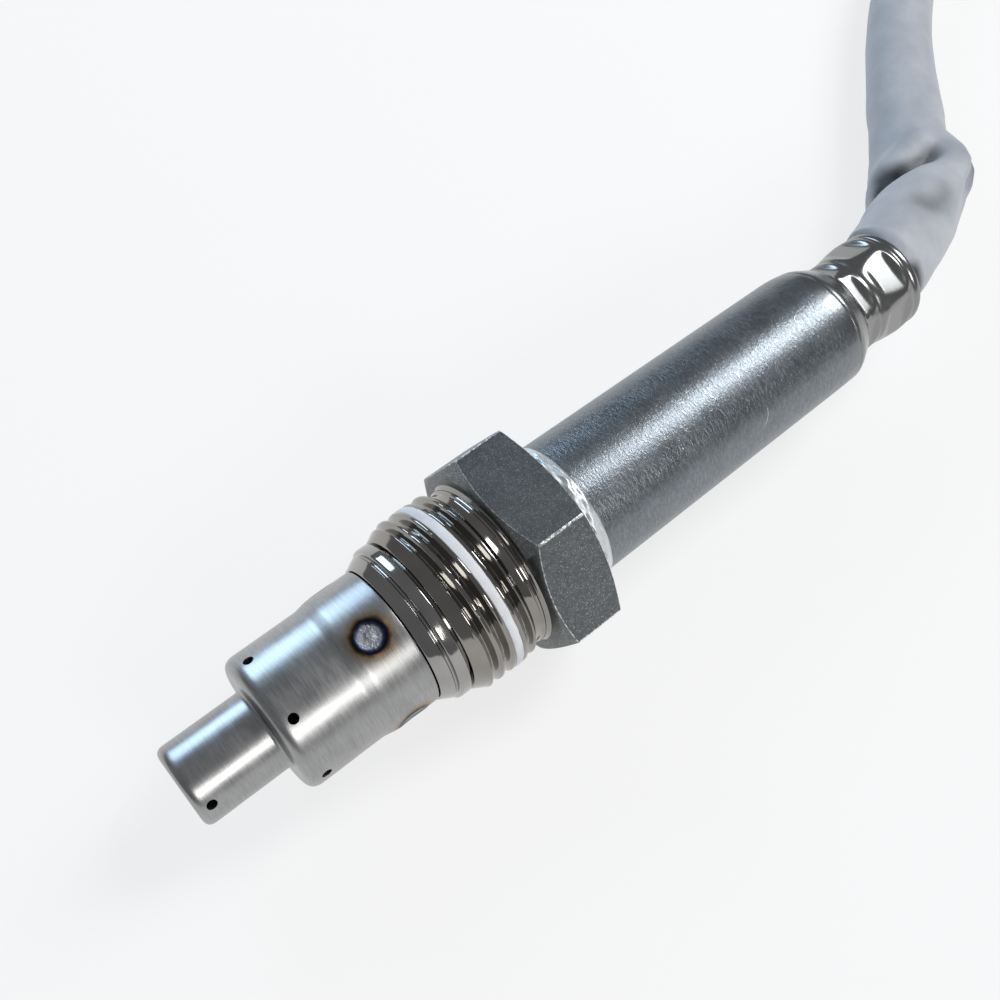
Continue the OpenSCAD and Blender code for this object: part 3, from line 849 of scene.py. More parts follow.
@dataclass
class OuterCap:
    """The drawn cap with its vents and weld spots."""

    tip: float = -41.4
    shoulder: float = -31.85
    cone: Place = (-23.15, -21.75)
    end: float = -16.6
    nose_r: float = 4.42
    front_r: float = 7.53
    rear_r: float = 7.8
    wall: float = 0.55
    vent_r: float = 0.55
    body_vents: tuple[int, float, float] = (6, 30.0, -29.85)
    nose_vents: tuple[int, float, float] = (2, 63.0, -39.9)
    spots: tuple[int, float, float] = (4, 15.0, -19.75)
    spot_depth: float = 0.13
    spot_edge: Place = (1.05, 1.5)
    rim_height: float = 0.05
    rim_r: float = 1.65
    rim_width: float = 0.22
    swirl_height: float = 0.05
    swirl_edge: Place = (0.7, 1.2)
    wave: float = 0.012
    wavy_to: float = -22.5

    def line(self) -> list[Place]:
        """Gives the cap's line from its tip, outside and back inside.

        Returns:
            Places and radii.
        """
        outer = softened([
            (self.tip, 0, 0), (self.tip, self.nose_r, 1.0), (self.shoulder, self.nose_r, 0.55),
            (self.shoulder, self.front_r, 1.45), (self.cone[0], self.front_r, 0.3),
            (self.cone[1], self.rear_r, 0.3), (self.end, self.rear_r, 0.12),
            (self.end, self.rear_r - self.wall, 0),
        ], 8)
        inner = softened([
            (self.end, self.rear_r - self.wall, 0), (self.cone[1], self.rear_r - self.wall, 0.4),
            (self.cone[0], self.front_r - self.wall, 0.4),
            (self.shoulder + self.wall, self.front_r - self.wall, 1.0),
            (self.shoulder + self.wall, self.nose_r - self.wall, 0.6),
            (self.tip + self.wall, self.nose_r - self.wall, 0.6), (self.tip + self.wall, 0, 0),
        ])
        return dense(outer, 0.24) + dense(inner, 1.2)[1:]

    def spot_distance(self, x: float, r: float, turn: float) -> float:
        """Measures how far a point is from the nearest weld spot.

        Args:
            x: place along the axis.
            r: radius.
            turn: angle in degrees.

        Returns:
            The distance along the surface in mm, at most 9.
        """
        count, first, place = self.spots
        apart = min(abs(turn_apart(turn, first + 360 / count * k)) for k in range(count))
        return min(math.hypot(x - place, math.radians(apart) * r), 9.0)

    def shape(self, x: float, r: float, turn: float) -> Place:
        """Sinks the weld spots and gives the drawn skin its slight waves."""
        if r < self.rear_r - self.wall / 2 or x < self.wavy_to:
            wave = self.wave * noise.noise(Vector((x * 0.4, math.radians(turn) * 3, 1.5)))
            return x, r + wave
        away = self.spot_distance(x, r, turn)
        dip = -self.spot_depth * (1 - ease(away, *self.spot_edge))
        dip += self.rim_height * math.exp(-((away - self.rim_r) / self.rim_width) ** 2)
        swirl = self.swirl_height * (1 - ease(away, *self.swirl_edge))
        return x, r + dip + swirl * math.sin(6 * away + math.radians(2 * turn))

    def build(self, finish: Metal, inside: Metal) -> None:
        """Builds and dresses the cap.

        Args:
            finish: the cap's steel.
            inside: near-black steel on its inner side, painted shade that keeps the vents dark.
        """
        bm = spun(self.line(), 300, closed=False)
        reshape(bm, self.shape)
        piece = put(bm, "vented_cap")
        vents = ((self.body_vents, self.front_r), (self.nose_vents, self.nose_r))
        for (count, first, place), r in vents:
            for k in range(count):
                turn = first + 360 / count * k
                carve(piece, put(rod(place, turn, r - 1.6, r + 1, self.vent_r), "drill"), Cut.AWAY)
        smooth(piece, 35)
        note(piece, "weld_mm", lambda p: self.spot_distance(p.x, *polar(p.y, p.z)))
        # The inner side gets the near-black material: painted shade
        mark_inside(piece, lambda out, normal: normal.x > 0.8)
        dress(piece, PROBE, [finish.material(), inside.material()], ["outer_cap"])


@dataclass
class Shell:
    """The probe's shell, of which the sealing collar shows."""

    collar_start: float = -16.5
    collar_end: float = -13.5
    stem_r: float = 7.85

    def build(self, finish: Metal) -> None:
        """Builds and dresses the shell.

        Args:
            finish: its bright plating.
        """
        start, end = self.collar_start, self.collar_end
        line = softened([
            (-22.95, 2.9, 0), (-22.95, 5.15, 0.1), (-20.55, 5.15, 0), (-20.5, 7.2, 0.1),
            (start, 7.22, 0), (start, 7.95, 0.08), (start + 0.3, 8.12, 0.1),
            (start + 1.3, 8.66, 0.08), (start + 1.42, 8.5, 0.05), (start + 1.62, 8.5, 0.05),
            (start + 1.72, 8.98, 0.1), (start + 2.0, 9.06, 0.08), (end - 0.02, 9.08, 0.12),
            (end, self.stem_r, 0.15), (3.95, self.stem_r, 0.1), (4.12, 7.2, 0),
            (13.15, 7.2, 0.1), (13.15, 4.6, 0.1), (-17.9, 4.6, 0), (-18, 2.9, 0.1),
        ], 4)
        piece = put(spun(dense(line, 0.6), 256), "collar_and_shell", 30)
        dress(piece, PROBE, [finish.material()], ["probe_shell"])


@dataclass
class UnionNut:
    """The nut that turns on the shell: thread, neck and hexagon."""

    front: float = -13.15
    flats: float = 22.0
    hex_half: float = 3.75
    bore_r: float = 7.9
    worn_width: float = 0.17
    arc_width: float = 0.06
    crest_r: float = 10.0
    root_r: float = 9.2
    pitch: float = 1.5
    root_place: float = -8.35
    thread: Place = (-12.0, -5.75)
    paste_r: float = 9.1

    def thread_r(self, x: float, turn: float, skin: float) -> float:
        """Gives the radius of the threaded part.

        Args:
            x: place along the axis.
            turn: angle in degrees.
            skin: radius of the part without its thread.

        Returns:
            The radius in mm.
        """
        phase = ((x - self.root_place) / self.pitch - turn / 360) % 1.0
        rise = min(max((0.94 - abs(phase - 0.5) * 2) / 0.76, 0.0), 1.0)
        rise = 0.55 * rise + 0.45 * rise * rise * (3 - 2 * rise)
        ridge = self.root_r + (self.crest_r - self.root_r) * rise
        start, end = self.thread
        share = ease(x, start, start + 0.55) * (1 - ease(x, end - 0.5, end + 0.1))
        return skin + (min(ridge, skin + 0.35 if x < start + 1.6 else ridge) - skin) * share

    def build_thread(self, finish: Metal) -> None:
        """Builds the threaded part and the neck.

        Args:
            finish: their bright plating.
        """
        start, end = self.thread
        line = softened([
            (self.front, self.bore_r, 0.1), (self.front, 9.0, 0.12),
            (self.front + 0.15, 9.15, 0.1), (start, 9.72, 0.15),
            (start + 0.9, 9.95, 0.2), (end - 0.2, 9.9, 0.2),
            (end + 0.15, 9.3, 0.15), (-5.0, 9.22, 0.2), (-4.6, 9.22, 0.15), (-4.45, 9.42, 0.08),
            (-4.2, 9.45, 0.08), (-4.1, 9.3, 0.08), (-3.6, 9.9, 0), (-3.2, 9.9, 0),
            (-3.2, self.bore_r, 0),
        ], 4)
        bm = spun(dense(line, 0.085), 300)
        reshape(bm, lambda x, r, turn: (
            x, self.thread_r(x, turn, r) if r > 8.5 and start <= x <= end + 0.1 else r))
        piece = put(bm, "nut_thread", 40)
        dress(piece, NUT, [finish.material()], ["union_nut"])

    def build_hexagon(self, finish: Metal, edges: Metal) -> None:
        """Builds the hexagon with its chamfers and worn edges.

        Args:
            finish: its blasted steel.
            edges: the same steel where it is worn.
        """
        bm = bmesh.new()
        corner = self.flats / 2 / math.cos(math.radians(30))
        bmesh.ops.create_cone(
            bm, cap_ends=True, segments=6, radius1=corner * MM, radius2=corner * MM,
            depth=2 * self.hex_half * MM,
        )
        place = Matrix.Translation((0, 0, AXIS_Z * MM)) @ Matrix.Rotation(math.pi / 2, 4, "Y")
        bmesh.ops.transform(bm, matrix=place, verts=bm.verts[:])
        bmesh.ops.bevel(
            bm, geom=[e for e in bm.edges if abs(e.verts[0].co.x - e.verts[1].co.x) > MM],
            offset=self.worn_width * MM, offset_type="OFFSET", segments=3, profile=0.5,
            affect="EDGES",
        )
        piece = put(bm, "nut_hexagon")
        half = self.hex_half
        barrel = spun([
            (-half - 0.001, self.bore_r), (-half, 10.6), (-half + 1.18, corner + 0.25),
            (half - 0.85, corner + 0.25), (half, 10.4), (half + 0.001, self.bore_r),
        ], 144)
        carve(piece, put(barrel, "barrel"), Cut.SHARED)
        bm = bmesh.new()
        bm.from_mesh(piece.data)
        bmesh.ops.remove_doubles(bm, verts=bm.verts[:], dist=2e-6)
        arcs = [
            e for e in bm.edges if len(e.link_faces) == 2
            and min(abs(f.normal.x) for f in e.link_faces) < 0.1
            and 0.4 < max(abs(f.normal.x) for f in e.link_faces) < 0.99
        ]
        bmesh.ops.bevel(
            bm, geom=arcs, offset=self.arc_width * MM, offset_type="OFFSET", segments=1,
            profile=0.5, affect="EDGES", material=1, clamp_overlap=True,
        )
        for face in bm.faces:
            apart = turn_apart(polar(face.normal.y, face.normal.z)[1], cycle=HEX_STEP)
            if abs(face.normal.x) < 0.2 and abs(apart) > 4:
                face.material_index = 1
        bm.to_mesh(piece.data)
        bm.free()
        smooth(piece, 30)
        even = piece.modifiers.new("even_normals", "WEIGHTED_NORMAL")
        even.keep_sharp = True
        even.weight = 90
        dress(piece, NUT, [finish.material(), edges.material()], ["union_nut"])

    def build_paste(self, finish: Matt) -> None:
        """Builds the paste that fills one turn of the thread.

        Args:
            finish: the dried paste.
        """
        mid = self.root_place
        line = softened([
            (mid - 0.62, 9.80, 0.05), (mid - 0.54, 9.98, 0.08), (mid - 0.1, 10.04, 0.2),
            (mid + 0.4, 10.0, 0.15), (mid + 0.6, 9.84, 0.08), (mid + 0.18, 9.12, 0.03),
            (mid - 0.18, 9.12, 0.03),
        ], 4)
        bm = spun(line, 300)
        reshape(bm, lambda x, r, turn: self.paste_place(x - mid, r, turn))
        piece = put(bm, "paste_in_thread", 50)
        dress(piece, NUT, [finish.material()], ["antiseize_paste"])

    def paste_place(self, across: float, r: float, turn: float) -> Place:
        """Lays the paste along the groove, with uneven edges and thin ends.

        Args:
            across: distance from the groove's middle.
            r: radius.
            turn: angle in degrees.

        Returns:
            The new place and radius.
        """
        angle = math.radians(turn)
        lump = noise.noise(Vector((
            2.2 * math.cos(angle) * 4, 2.2 * math.sin(angle) * 4, across * 1.5,
        )))
        width = 1.0 - 0.12 * math.sin(angle) + 0.06 * lump
        thin = 1 - ease(abs(turn), 160, 179)
        level = r + (0.035 * lump if r > 9.5 else 0.0)
        place = self.root_place + self.pitch * turn / 360 + across * width * max(thin, 0.25)
        return place, self.paste_r + (level - self.paste_r) * max(thin, 0.1)


@dataclass
class WeldBead:
    """The weld bead that joins the rear sleeve to the shell."""

    start: float = 4.2
    width: float = 1.9
    base_r: float = 7.9
    top_r: float = 8.2
    height: float = 0.38

    def shape(self, x: float, r: float, turn: float) -> Place:
        """Lays the bead's overlapping ripples."""
        share = (x - self.start) / self.width
        if r < self.base_r + 0.09:
            return x, r
        angle = math.radians(turn)
        ripple = math.sin(math.tau * 2.6 * share - 21 * angle + math.sin(4 * angle))
        rough = noise.noise(Vector((x * 2.5, 6 * math.cos(angle), 6 * math.sin(angle))))
        strands = 0.09 * math.sin(math.tau * 1.6 * share + 11 * angle + 0.8 * math.sin(3 * angle))
        height = math.sin(math.pi * min(max(share, 0.0), 1.0)) ** 0.6
        sway = 0.1 * math.sin(4 * angle + 0.5) + 0.12 * rough
        rise = self.height + strands + 0.035 * ripple + 0.07 * rough
        return x + sway * height, self.base_r + height * rise

    def build(self, finish: Metal) -> None:
        """Builds and dresses the bead.

        Args:
            finish: the bright weld metal.
        """
        steps = 20
        top = [(self.start + self.width * k / steps, self.top_r) for k in range(steps + 1)]
        line = [(self.start, self.base_r), *top, (self.start + self.width, self.base_r)]
        bm = spun(line, 480)
        reshape(bm, self.shape)
        piece = put(bm, "sleeve_weld", 60)
        dress(piece, PROBE, [finish.material()], ["sleeve_weld_bead"])


@dataclass
class RearSleeve:
    """The long steel tube with its crimped cable end."""

    skin: tuple[Place, ...] = (
        (4.16, 7.95), (4.3, 7.97), (42.3, 7.49), (44.35, 7.44), (44.5, 7.38), (44.65, 7.43),
        (45.0, 7.38), (45.4, 7.22), (45.8, 6.98), (46.5, 6.6), (47.2, 6.2), (47.8, 5.92),
        (48.5, 5.74), (49.5, 5.72), (50.0, 5.6), (50.4, 5.72), (51.2, 5.86), (52.4, 6.02),
        (53.6, 6.12), (54.6, 6.1), (55.1, 5.94), (55.4, 5.86), (55.7, 6.0), (56.1, 6.0),
        (56.35, 5.88), (56.45, 5.6),
    )
    bore: tuple[Place, ...] = (
        (56.3, 5.15), (55.9, 4.98), (47.2, 4.98), (46.2, 6.2), (44.5, 6.75), (42.3, 6.88),
        (4.16, 7.36),
    )
    inside_r: float = 5.05
    fine_from: float = 42.0
    shaped_from: float = 41.0
    flat_turn: float = 23.0
    rows: tuple[Point, ...] = ((46.9, 49.9, 5.22), (50.5, 55.0, 5.5))
    pleat: Point = (0.35, 5.0, 0.07)
    shoulder: Dent = Dent(45.2, -64, 1.5, 40, 0.25)

    def shape(self, x: float, r: float, turn: float) -> Place:
        """Presses the flats of the two crimped rows and the side of the shoulder."""
        skin = along(self.skin, x)
        if r < skin - 0.15 or x < self.shaped_from:
            return x, r
        apart = turn_apart(turn, self.flat_turn, HEX_STEP)
        reach, spread, pleat = self.pleat
        result = r
        for start, end, flat in self.rows:
            window = ease(x, start, start + 1.1) * (1 - ease(x, end - 1.0, end))
            depth = r - flat / math.cos(math.radians(apart))
            result -= (depth + math.hypot(depth, 0.1)) / 2 * window
            for place in (start + 0.5, end - 0.3):
                off_corner = (abs(apart) - HEX_STEP / 2) / spread
                result -= pleat * math.exp(-((x - place) / reach) ** 2 - off_corner ** 2)
        return x, result - self.shoulder.at(x, turn)

    def build(self, finish: Metal, inside: Metal) -> None:
        """Builds and dresses the sleeve.

        Args:
            finish: its ground steel.
            inside: near-black steel in its bore, painted shade that keeps the crimp's mouth dark.
        """
        fine = [p for p in dense(self.skin, 0.2) if p[0] > self.fine_from]
        plain = [p for p in dense(self.skin, 0.8) if p[0] <= self.fine_from]
        bm = spun([*plain, *fine, *self.bore], 288)
        reshape(bm, self.shape)
        piece = put(bm, "crimped_sleeve", 40)
        # The bore gets the near-black material: painted shade
        mark_inside(piece, lambda out, normal: out.length < self.inside_r * MM)
        dress(
            piece, PROBE, [finish.material(), inside.material()], ["rear_sleeve"],
        )


# The lead


@dataclass
class Lead:
    """The lead from the crimp to its connector, most of it in a coil."""

    radius: float = 4.5
    length: float = 545.0
    # Route from the crimp to the coil
    entry: tuple[Point, ...] = (
        (54.6, 0, 11), (58, 0, 11), (61.8, 1.2, 10.7), (66.4, 3.7, 9.8), (71, 6.4, 8.8),
        (75.4, 9.4, 7.7), (79.2, 12.7, 6.7), (82.9, 16.6, 5.8), (87.2, 21, 5.1),
        (92.6, 26.2, 4.7), (98.8, 31.8, 4.5), (106, 37.4, 4.5), (114, 42.3, 4.5),
        (123, 46.2, 4.5), (133, 49.2, 4.5), (144, 51.2, 4.5), (158.5, 52, 4.5),
    )
    # Degrees on, way inwards and height where the lead climbs to the connector
    climb: tuple[Point, ...] = (
        (20, 0.7, 4.7), (40, 1.4, 5.6), (60, 1.9, 7.3), (80, 2.2, 9.6), (100, 2.3, 12),
        (120, 2.3, 14.1), (138, 2.2, 15.5), (155, 1.94, 16), (165, 2.3, 16),
    )
    coil_centre: tuple[float, float] = (175.0, 10.0)
    coil_r: float = 42.0
    coil_pitch: float = 9.4
    coil_turns: float = 1.5
    coil_start: float = 90.0
    sides: int = 96
    # Half widths to the right and left and half thickness, by the distance from the crimp
    right: tuple[Place, ...] = (
        (0, 4.7), (2.2, 4.6), (3.6, 4.4), (6.7, 4.45), (10, 5.0), (13.6, 5.45), (17.3, 5.7),
        (20.9, 6.1), (22.7, 6.75), (24.5, 7.05), (26.4, 6.7), (27.9, 5.9), (29.6, 4.95),
        (33.2, 4.75), (37.2, 5.05), (44, 4.9), (56, 4.6), (66, 4.5),
    )
    left: tuple[Place, ...] = (
        (0, 4.7), (2.0, 4.9), (2.7, 5.9), (3.6, 6.35), (8.2, 6.4), (11.8, 5.95), (13.6, 5.65),
        (17.3, 6.0), (20.9, 6.35), (24.5, 6.3), (27.9, 6.0), (33.2, 5.45), (37.2, 5.1),
        (44, 4.8), (56, 4.55), (66, 4.5),
    )
    thick: tuple[Place, ...] = (
        (0, 4.7), (2.2, 4.85), (3.4, 5.4), (8, 5.5), (13, 5.1), (19, 4.5), (25, 4.5),
        (31, 4.9), (38, 4.9), (56, 4.5),
    )
    # Distance of the fold from the crimp, by the angle around the lead
    crease: tuple[Place, ...] = (
        (30, 27.6), (48, 25.8), (66, 24.2), (90, 22.2), (108, 20.4), (120, 19.2), (133, 18.0),
        (150, 16.9), (170, 16.4),
    )
    dents: tuple[Dent, ...] = (
        Dent(12.8, 68, 3.4, 24, 0.8), Dent(22.8, 16, 4.6, 6, 0.5), Dent(21.0, 31, 5.5, 9, -0.4),
        Dent(5.6, 62, 0.9, 34, 0.16), Dent(8.2, 50, 1.1, 30, 0.16), Dent(29.5, 112, 4.5, 26, 0.4),
        Dent(31.0, 32, 4.0, 11, -0.35), Dent(16.6, 84, 2.2, 20, -0.35),
        Dent(34.0, 70, 5.0, 22, 0.3),
    )
    # Patches of painted shade on the sleeve: run, turn, reach, spread and how dark each makes it
    painted_shades: tuple[Dent, ...] = (
        Dent(12.4, 64, 2.8, 20, 0.42), Dent(12.0, 86, 2.2, 16, 0.3), Dent(15.5, 54, 2.8, 14, 0.3),
        Dent(24.6, 3, 3.8, 12, 0.6),
        Dent(17.0, 166, 3.0, 16, 0.45), Dent(25.5, 44, 2.0, 22, 0.2),
    )

    def spot(self, turn: float, r: float, height: float) -> Point:
        """Gives a point beside the coil's centre, in mm."""
        angle = math.radians(turn)
        return (
            self.coil_centre[0] + r * math.cos(angle),
            self.coil_centre[1] + r * math.sin(angle), height,
        )

    def route(self) -> list[Vector]:
        """Gives the points that the lead was laid along, in mm."""
        steps = round(self.coil_turns * 30)
        coil = [
            self.spot(
                self.coil_start - 360 * self.coil_turns * k / steps,
                self.coil_r - self.coil_pitch * self.coil_turns * k / steps, self.radius,
            ) for k in range(steps + 1)
        ]
        end_turn = self.coil_start - 360 * self.coil_turns
        end_r = self.coil_r - self.coil_pitch * self.coil_turns
        tail = [
            self.spot(end_turn - on, end_r - inwards, height)
            for on, inwards, height in self.climb
        ]
        return [Vector(p) for p in (*self.entry, *coil, *tail)]

    def smoothed(self, per_stretch: int = 4) -> list[Vector]:
        """Runs a smooth line through the route's points.

        Args:
            per_stretch: points in each stretch.

        Returns:
            Closely spaced points in mm.
        """
        points = self.route()
        line: list[Vector] = []
        padded = [points[0], *points, points[-1]]
        for i, (before, start, end, after) in enumerate(
            zip(padded, padded[1:], padded[2:], padded[3:])
        ):
            parts = per_stretch * (3 if i < 9 else 1)
            for k in range(parts):
                t = k / parts
                line.append(0.5 * (
                    2 * start + (end - before) * t
                    + (2 * before - 5 * start + 4 * end - after) * t * t
                    + (3 * start - before - 3 * end + after) * t * t * t
                ))
        line.append(points[-1])
        return line

    def section(self, run: float, angle: float) -> Point:
        """Gives the sleeve's cross-section, folded where it leaves the crimp.

        Args:
            run: distance along the lead in mm.
            angle: angle around it, 0 at its right side and 90 towards the camera.

        Returns:
            Sideways and outward distance from the middle, and the share of painted shade there.
        """
        turn = math.degrees(angle) % 360
        right, left, thick = (along(line, run) for line in (self.right, self.left, self.thick))
        behind = run - along(self.crease, turn)
        facing = 1 - ease(abs(turn_apart(turn, 116)), 32, 72)
        reach = 1.5 if behind < 0 else 2.4 + 2.4 * ease(turn, 105, 150)
        fold_and_painted_shade = math.exp(-(behind / reach) ** 2) * facing
        lip = 0.5 * math.exp(-((behind - 5.2) / 2.2) ** 2) * facing
        lump = noise.noise(Vector((run * 0.2, 1.3 * math.cos(angle), 1.3 * math.sin(angle))))
        rise = lip - 2.3 * fold_and_painted_shade + lump * (0.05 + 0.16 * (1 - ease(run, 26, 60))) * ease(run, 2, 5)
        rise -= sum(dent.at(run, turn) for dent in self.dents)
        scale = 1 + rise / 5.5
        across = (right - left) / 2 + (right + left) / 2 * math.cos(angle) * scale
        # Painted shade in the fold's crease
        painted_shade = ease(fold_and_painted_shade, 0.12, 0.7) * (0.68 + 0.32 * ease(turn, 88, 118))
        # rim widens the painted shadow behind the crimp's lip on the lead's right side
        rim = 1 - ease(abs(turn_apart(turn, 15)), 45, 80)
        # Painted shade in patches, then a painted shadow just behind the crimp's lip
        painted_shade += sum(shade.at(run, turn) for shade in self.painted_shades)
        painted_shade += 1 - ease(run, 1.3 + 1.2 * rim, 2.2 + 1.3 * rim)
        return across, thick * math.sin(angle) * scale, min(max(painted_shade, 0.0), 1.0)

    def build(self, finish: SoftSleeve) -> Piece:
        """Builds the sleeve as one tube.

        Args:
            finish: the sleeve's coating.

        Returns:
            The lead's piece.
        """
        line = self.smoothed()
        bm = bmesh.new()
        bmesh.ops.create_grid(bm, x_segments=len(line) - 1, y_segments=self.sides, size=0.5)
        # Holds the painted shade that section gives at each point
        fold_and_painted_shade = bm.verts.layers.float.new("fold_and_painted_shade")
        runs = [0.0]
        for start, end in zip(line, line[1:]):
            runs.append(runs[-1] + (end - start).length)
        for vert in bm.verts:
            i = round((vert.co.x + 0.5) * (len(line) - 1))
            angle = (vert.co.y + 0.5) * math.tau
            ahead = (line[min(i + 1, len(line) - 1)] - line[max(i - 1, 0)]).normalized()
            to_eye = (Vector(EYE) - line[i]).normalized()
            upright = to_eye.lerp(Vector((0, 0, 1)), ease(runs[i], 40, 75))
            side = ahead.cross(upright).normalized()
            out = side.cross(ahead)
            across, up, vert[fold_and_painted_shade] = self.section(runs[i], angle)
            vert.co = (line[i] + side * across + out * up) * MM
            vert.co.z = max(vert.co.z, 0.0)
        bmesh.ops.remove_doubles(bm, verts=bm.verts[:], dist=1e-6)
        ends = [e for e in bm.edges if e.is_boundary]
        bmesh.ops.holes_fill(bm, edges=ends, sides=0)
        piece = put(bm, "lead_sleeve", 60)
        LOG.info("lead is %.1f mm long", runs[-1])
        nodes = ["lead_tube", "lead_coil", "lead_tail"]
        return dress(piece, PROBE, [finish.material()], nodes)


@dataclass
class Boot:
    """The ribbed rubber boot between the lead and the connector."""

    length: float = 12.0

    def build(self, route: Sequence[Vector], finish: Matt) -> Piece:
        """Builds and dresses the boot.

        Args:
            route: the lead's route, which ends at the boot.
            finish: its rubber.

        Returns:
            The boot's piece.
        """
        corners = [(0.0, 0.0, 0.0), (0.0, 5.3, 0.3), (0.6, 5.5, 0.2)]
        for k in range(3):
            x = 1.0 + 2.2 * k
            r = 5.5 + 0.12 * k
            corners += [
                (x, r + 0.45, 0.25), (x + 1.0, r + 0.45, 0.25), (x + 1.25, r - 0.35, 0.2),
                (x + 1.9, r - 0.35, 0.2),
            ]
        corners += [
            (8.0, 5.7, 0.3), (9.4, 6.75, 0.4), (self.length, 6.78, 0.15), (self.length, 0.0, 0.0),
        ]
        bm = spun(softened(corners, 4), 96, closed=False)
        before, end = route[-2:]
        turn = math.atan2(end.y - before.y, end.x - before.x)
        place = Matrix.Translation(end * MM) @ Matrix.Rotation(turn, 4, "Z") @ Matrix.Translation(
            (0, 0, -AXIS_Z * MM)
        )
        bmesh.ops.transform(bm, matrix=place, verts=bm.verts[:])
        piece = put(bm, "ribbed_boot", 40)
        return dress(piece, PROBE, [finish.material()], ["connector_boot"])


# Studio


@dataclass(frozen=True)
class Viewpoint:
    """The camera, fitted to the photograph."""

    place: Point = EYE
    right: Point = (0.77118, -0.63633, -0.01855)
    up: Point = (0.54930, 0.65040, 0.52461)
    back: Point = (-0.32177, -0.41477, 0.85113)
    sensor: float = 36.0
    focal: float = 1.243

    def set_up(self) -> None:
        """Makes the scene's camera."""
        data = bpy.data.cameras.new("camera")
        data.sensor_width = self.sensor
        data.lens = self.sensor * self.focal
        data.clip_start = 0.001
        camera = bpy.data.objects.new("camera", data)
        turn = Matrix((self.right, self.up, self.back)).transposed()
        camera.matrix_world = Matrix.Translation(Vector(self.place) * MM) @ turn.to_4x4()
        link(camera)
        bpy.context.scene.camera = camera


@dataclass(frozen=True)
class Softbox:
    """A plain rectangular lamp, aimed at the probe."""

    name: str
    toward: Point
    size: Place
    color: Color
    level: float
    distance: float = 0.6
    target: Point = (0.0, 0.0, 0.015)

    def set_up(self) -> None:
        """Makes the lamp."""
        data = bpy.data.lights.new(self.name, "AREA")
        data.shape = "RECTANGLE"
        data.size, data.size_y = self.size
        data.color = self.color
        data.energy = 4 * self.size[0] * self.size[1] * self.level
        lamp = bpy.data.objects.new(self.name, data)
        way = Vector(self.toward).normalized()
        lamp.matrix_world = Matrix.Translation(
            Vector(self.target) + way * self.distance
        ) @ way.to_track_quat("Z", "X").to_matrix().to_4x4()
        link(lamp)


@dataclass
class Studio:
    """Pale floor, plain lamps and a dim room."""

    floor_color: Color = (0.88, 0.88, 0.87)
    white_share: float = 0.74
    room: Color = (0.22, 0.225, 0.235)
    boxes: list[Softbox] = field(default_factory=lambda: [
        Softbox("window_lamp", (0.03, 0.86, 0.46), (0.34, 0.19), (0.56, 0.78, 1.0), 4.6),
        Softbox("front_lamp", (-0.05, -0.85, 0.55), (0.17, 0.22), (1.0, 0.99, 0.96), 7.0),
        Softbox("overhead_lamp", (0.66, -0.10, 0.75), (0.3, 0.2), (0.95, 0.98, 1.0), 8.0),
    ])

    def set_up(self) -> None:
        """Makes the floor, the lamps and the world."""
        bm = bmesh.new()
        bmesh.ops.create_grid(bm, x_segments=1, y_segments=1, size=4)
        floor = put(bm, "floor")
        floor.data.materials.append(self.floor_material())
        for box in self.boxes:
            box.set_up()
        world = bpy.data.worlds.new("room")
        world.use_nodes = True
        world.node_tree.nodes["Background"].inputs["Color"].default_value = (*self.room, 1)
        bpy.context.scene.world = world
        bpy.context.scene.view_settings.view_transform = "Standard"

    def floor_material(self) -> Material:
        """Makes the floor's material, which looks white and keeps a shadow."""
        bench = Bench("pale_floor")
        bench.set(Base_Color=self.floor_color, Roughness=0.9)
        rays = bench.node("ShaderNodeLightPath")
        seen = bench.sum("ADD", rays.outputs["Is Camera Ray"], rays.outputs["Is Glossy Ray"])
        seen = bench.sum("ADD", seen, rays.outputs["Is Transmission Ray"])
        share = bench.times(bench.sum("MINIMUM", seen, 1.0), self.white_share)
        glow = bench.node("ShaderNodeEmission")
        mix = bench.node("ShaderNodeMixShader", Fac=share)
        bench.join(bench.shader.outputs["BSDF"], mix.inputs[1])
        bench.join(glow.outputs["Emission"], mix.inputs[2])
        bench.join(mix.outputs["Shader"], bench.output.inputs["Surface"])
        return bench.material


@dataclass
class InsideParts:
    """The CAD nodes that stay, mostly hidden inside, and their finishes."""

    def dress(self, nodes: dict[str, Piece]) -> None:
        """Gives each kept CAD node its material.

        Args:
            nodes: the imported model's nodes.
        """
        ceramic = Matt("fired_ceramic", (0.86, 0.84, 0.78), 0.55, 0.3, 0.006).material()
        spring = Metal("spring_strip", (0.55, 0.55, 0.54), 0.25, Grain.ALONG).material()
        contact = Metal("contact_alloy", (0.78, 0.62, 0.33), 0.25, Grain.ALONG).material()
        silicone = Matt("orange_silicone", (0.55, 0.12, 0.03), 0.45, 0.4, 0.01).material()
        chosen = {
            # The inner cap is darkened to 0.2: painted shade, so that it shows dark through the
            # vents
            "inner_cap": Metal("painted_shade_inner_cap_steel", gray(0.2), 0.5).material(),
            "sensing_element": ceramic, "front_insulator": ceramic, "rear_insulator": ceramic,
            "contact_holder": ceramic,
            "powder_packing": Matt(
                "pressed_powder", (0.72, 0.66, 0.52), 0.9, 0.15, 0.05,
            ).material(),
            "press_ring": spring, "contact_clamp": spring,
            "contact_springs": contact, "connector_terminals": contact,
            "lead_wires": Matt("wire_insulation", (0.8, 0.8, 0.78), 0.4, 0.3, 0.005).material(),
            "seal_plug": Matt("seal_rubber", (0.02, 0.02, 0.02), 0.6, 0.4, 0.01).material(),
            "connector_housing": Matt(
                "grained_black_plastic", (0.022, 0.022, 0.025), 0.5, 0.25, 0.02,
            ).material(),
            "connector_ring_seal": silicone,
            "connector_lock": Matt(
                "red_clip_plastic", (0.4, 0.03, 0.02), 0.35, 0.4, 0.005,
            ).material(),
        }
        for name, material in chosen.items():
            mesh = nodes[name].data
            mesh.materials.clear()
            mesh.materials.append(material)


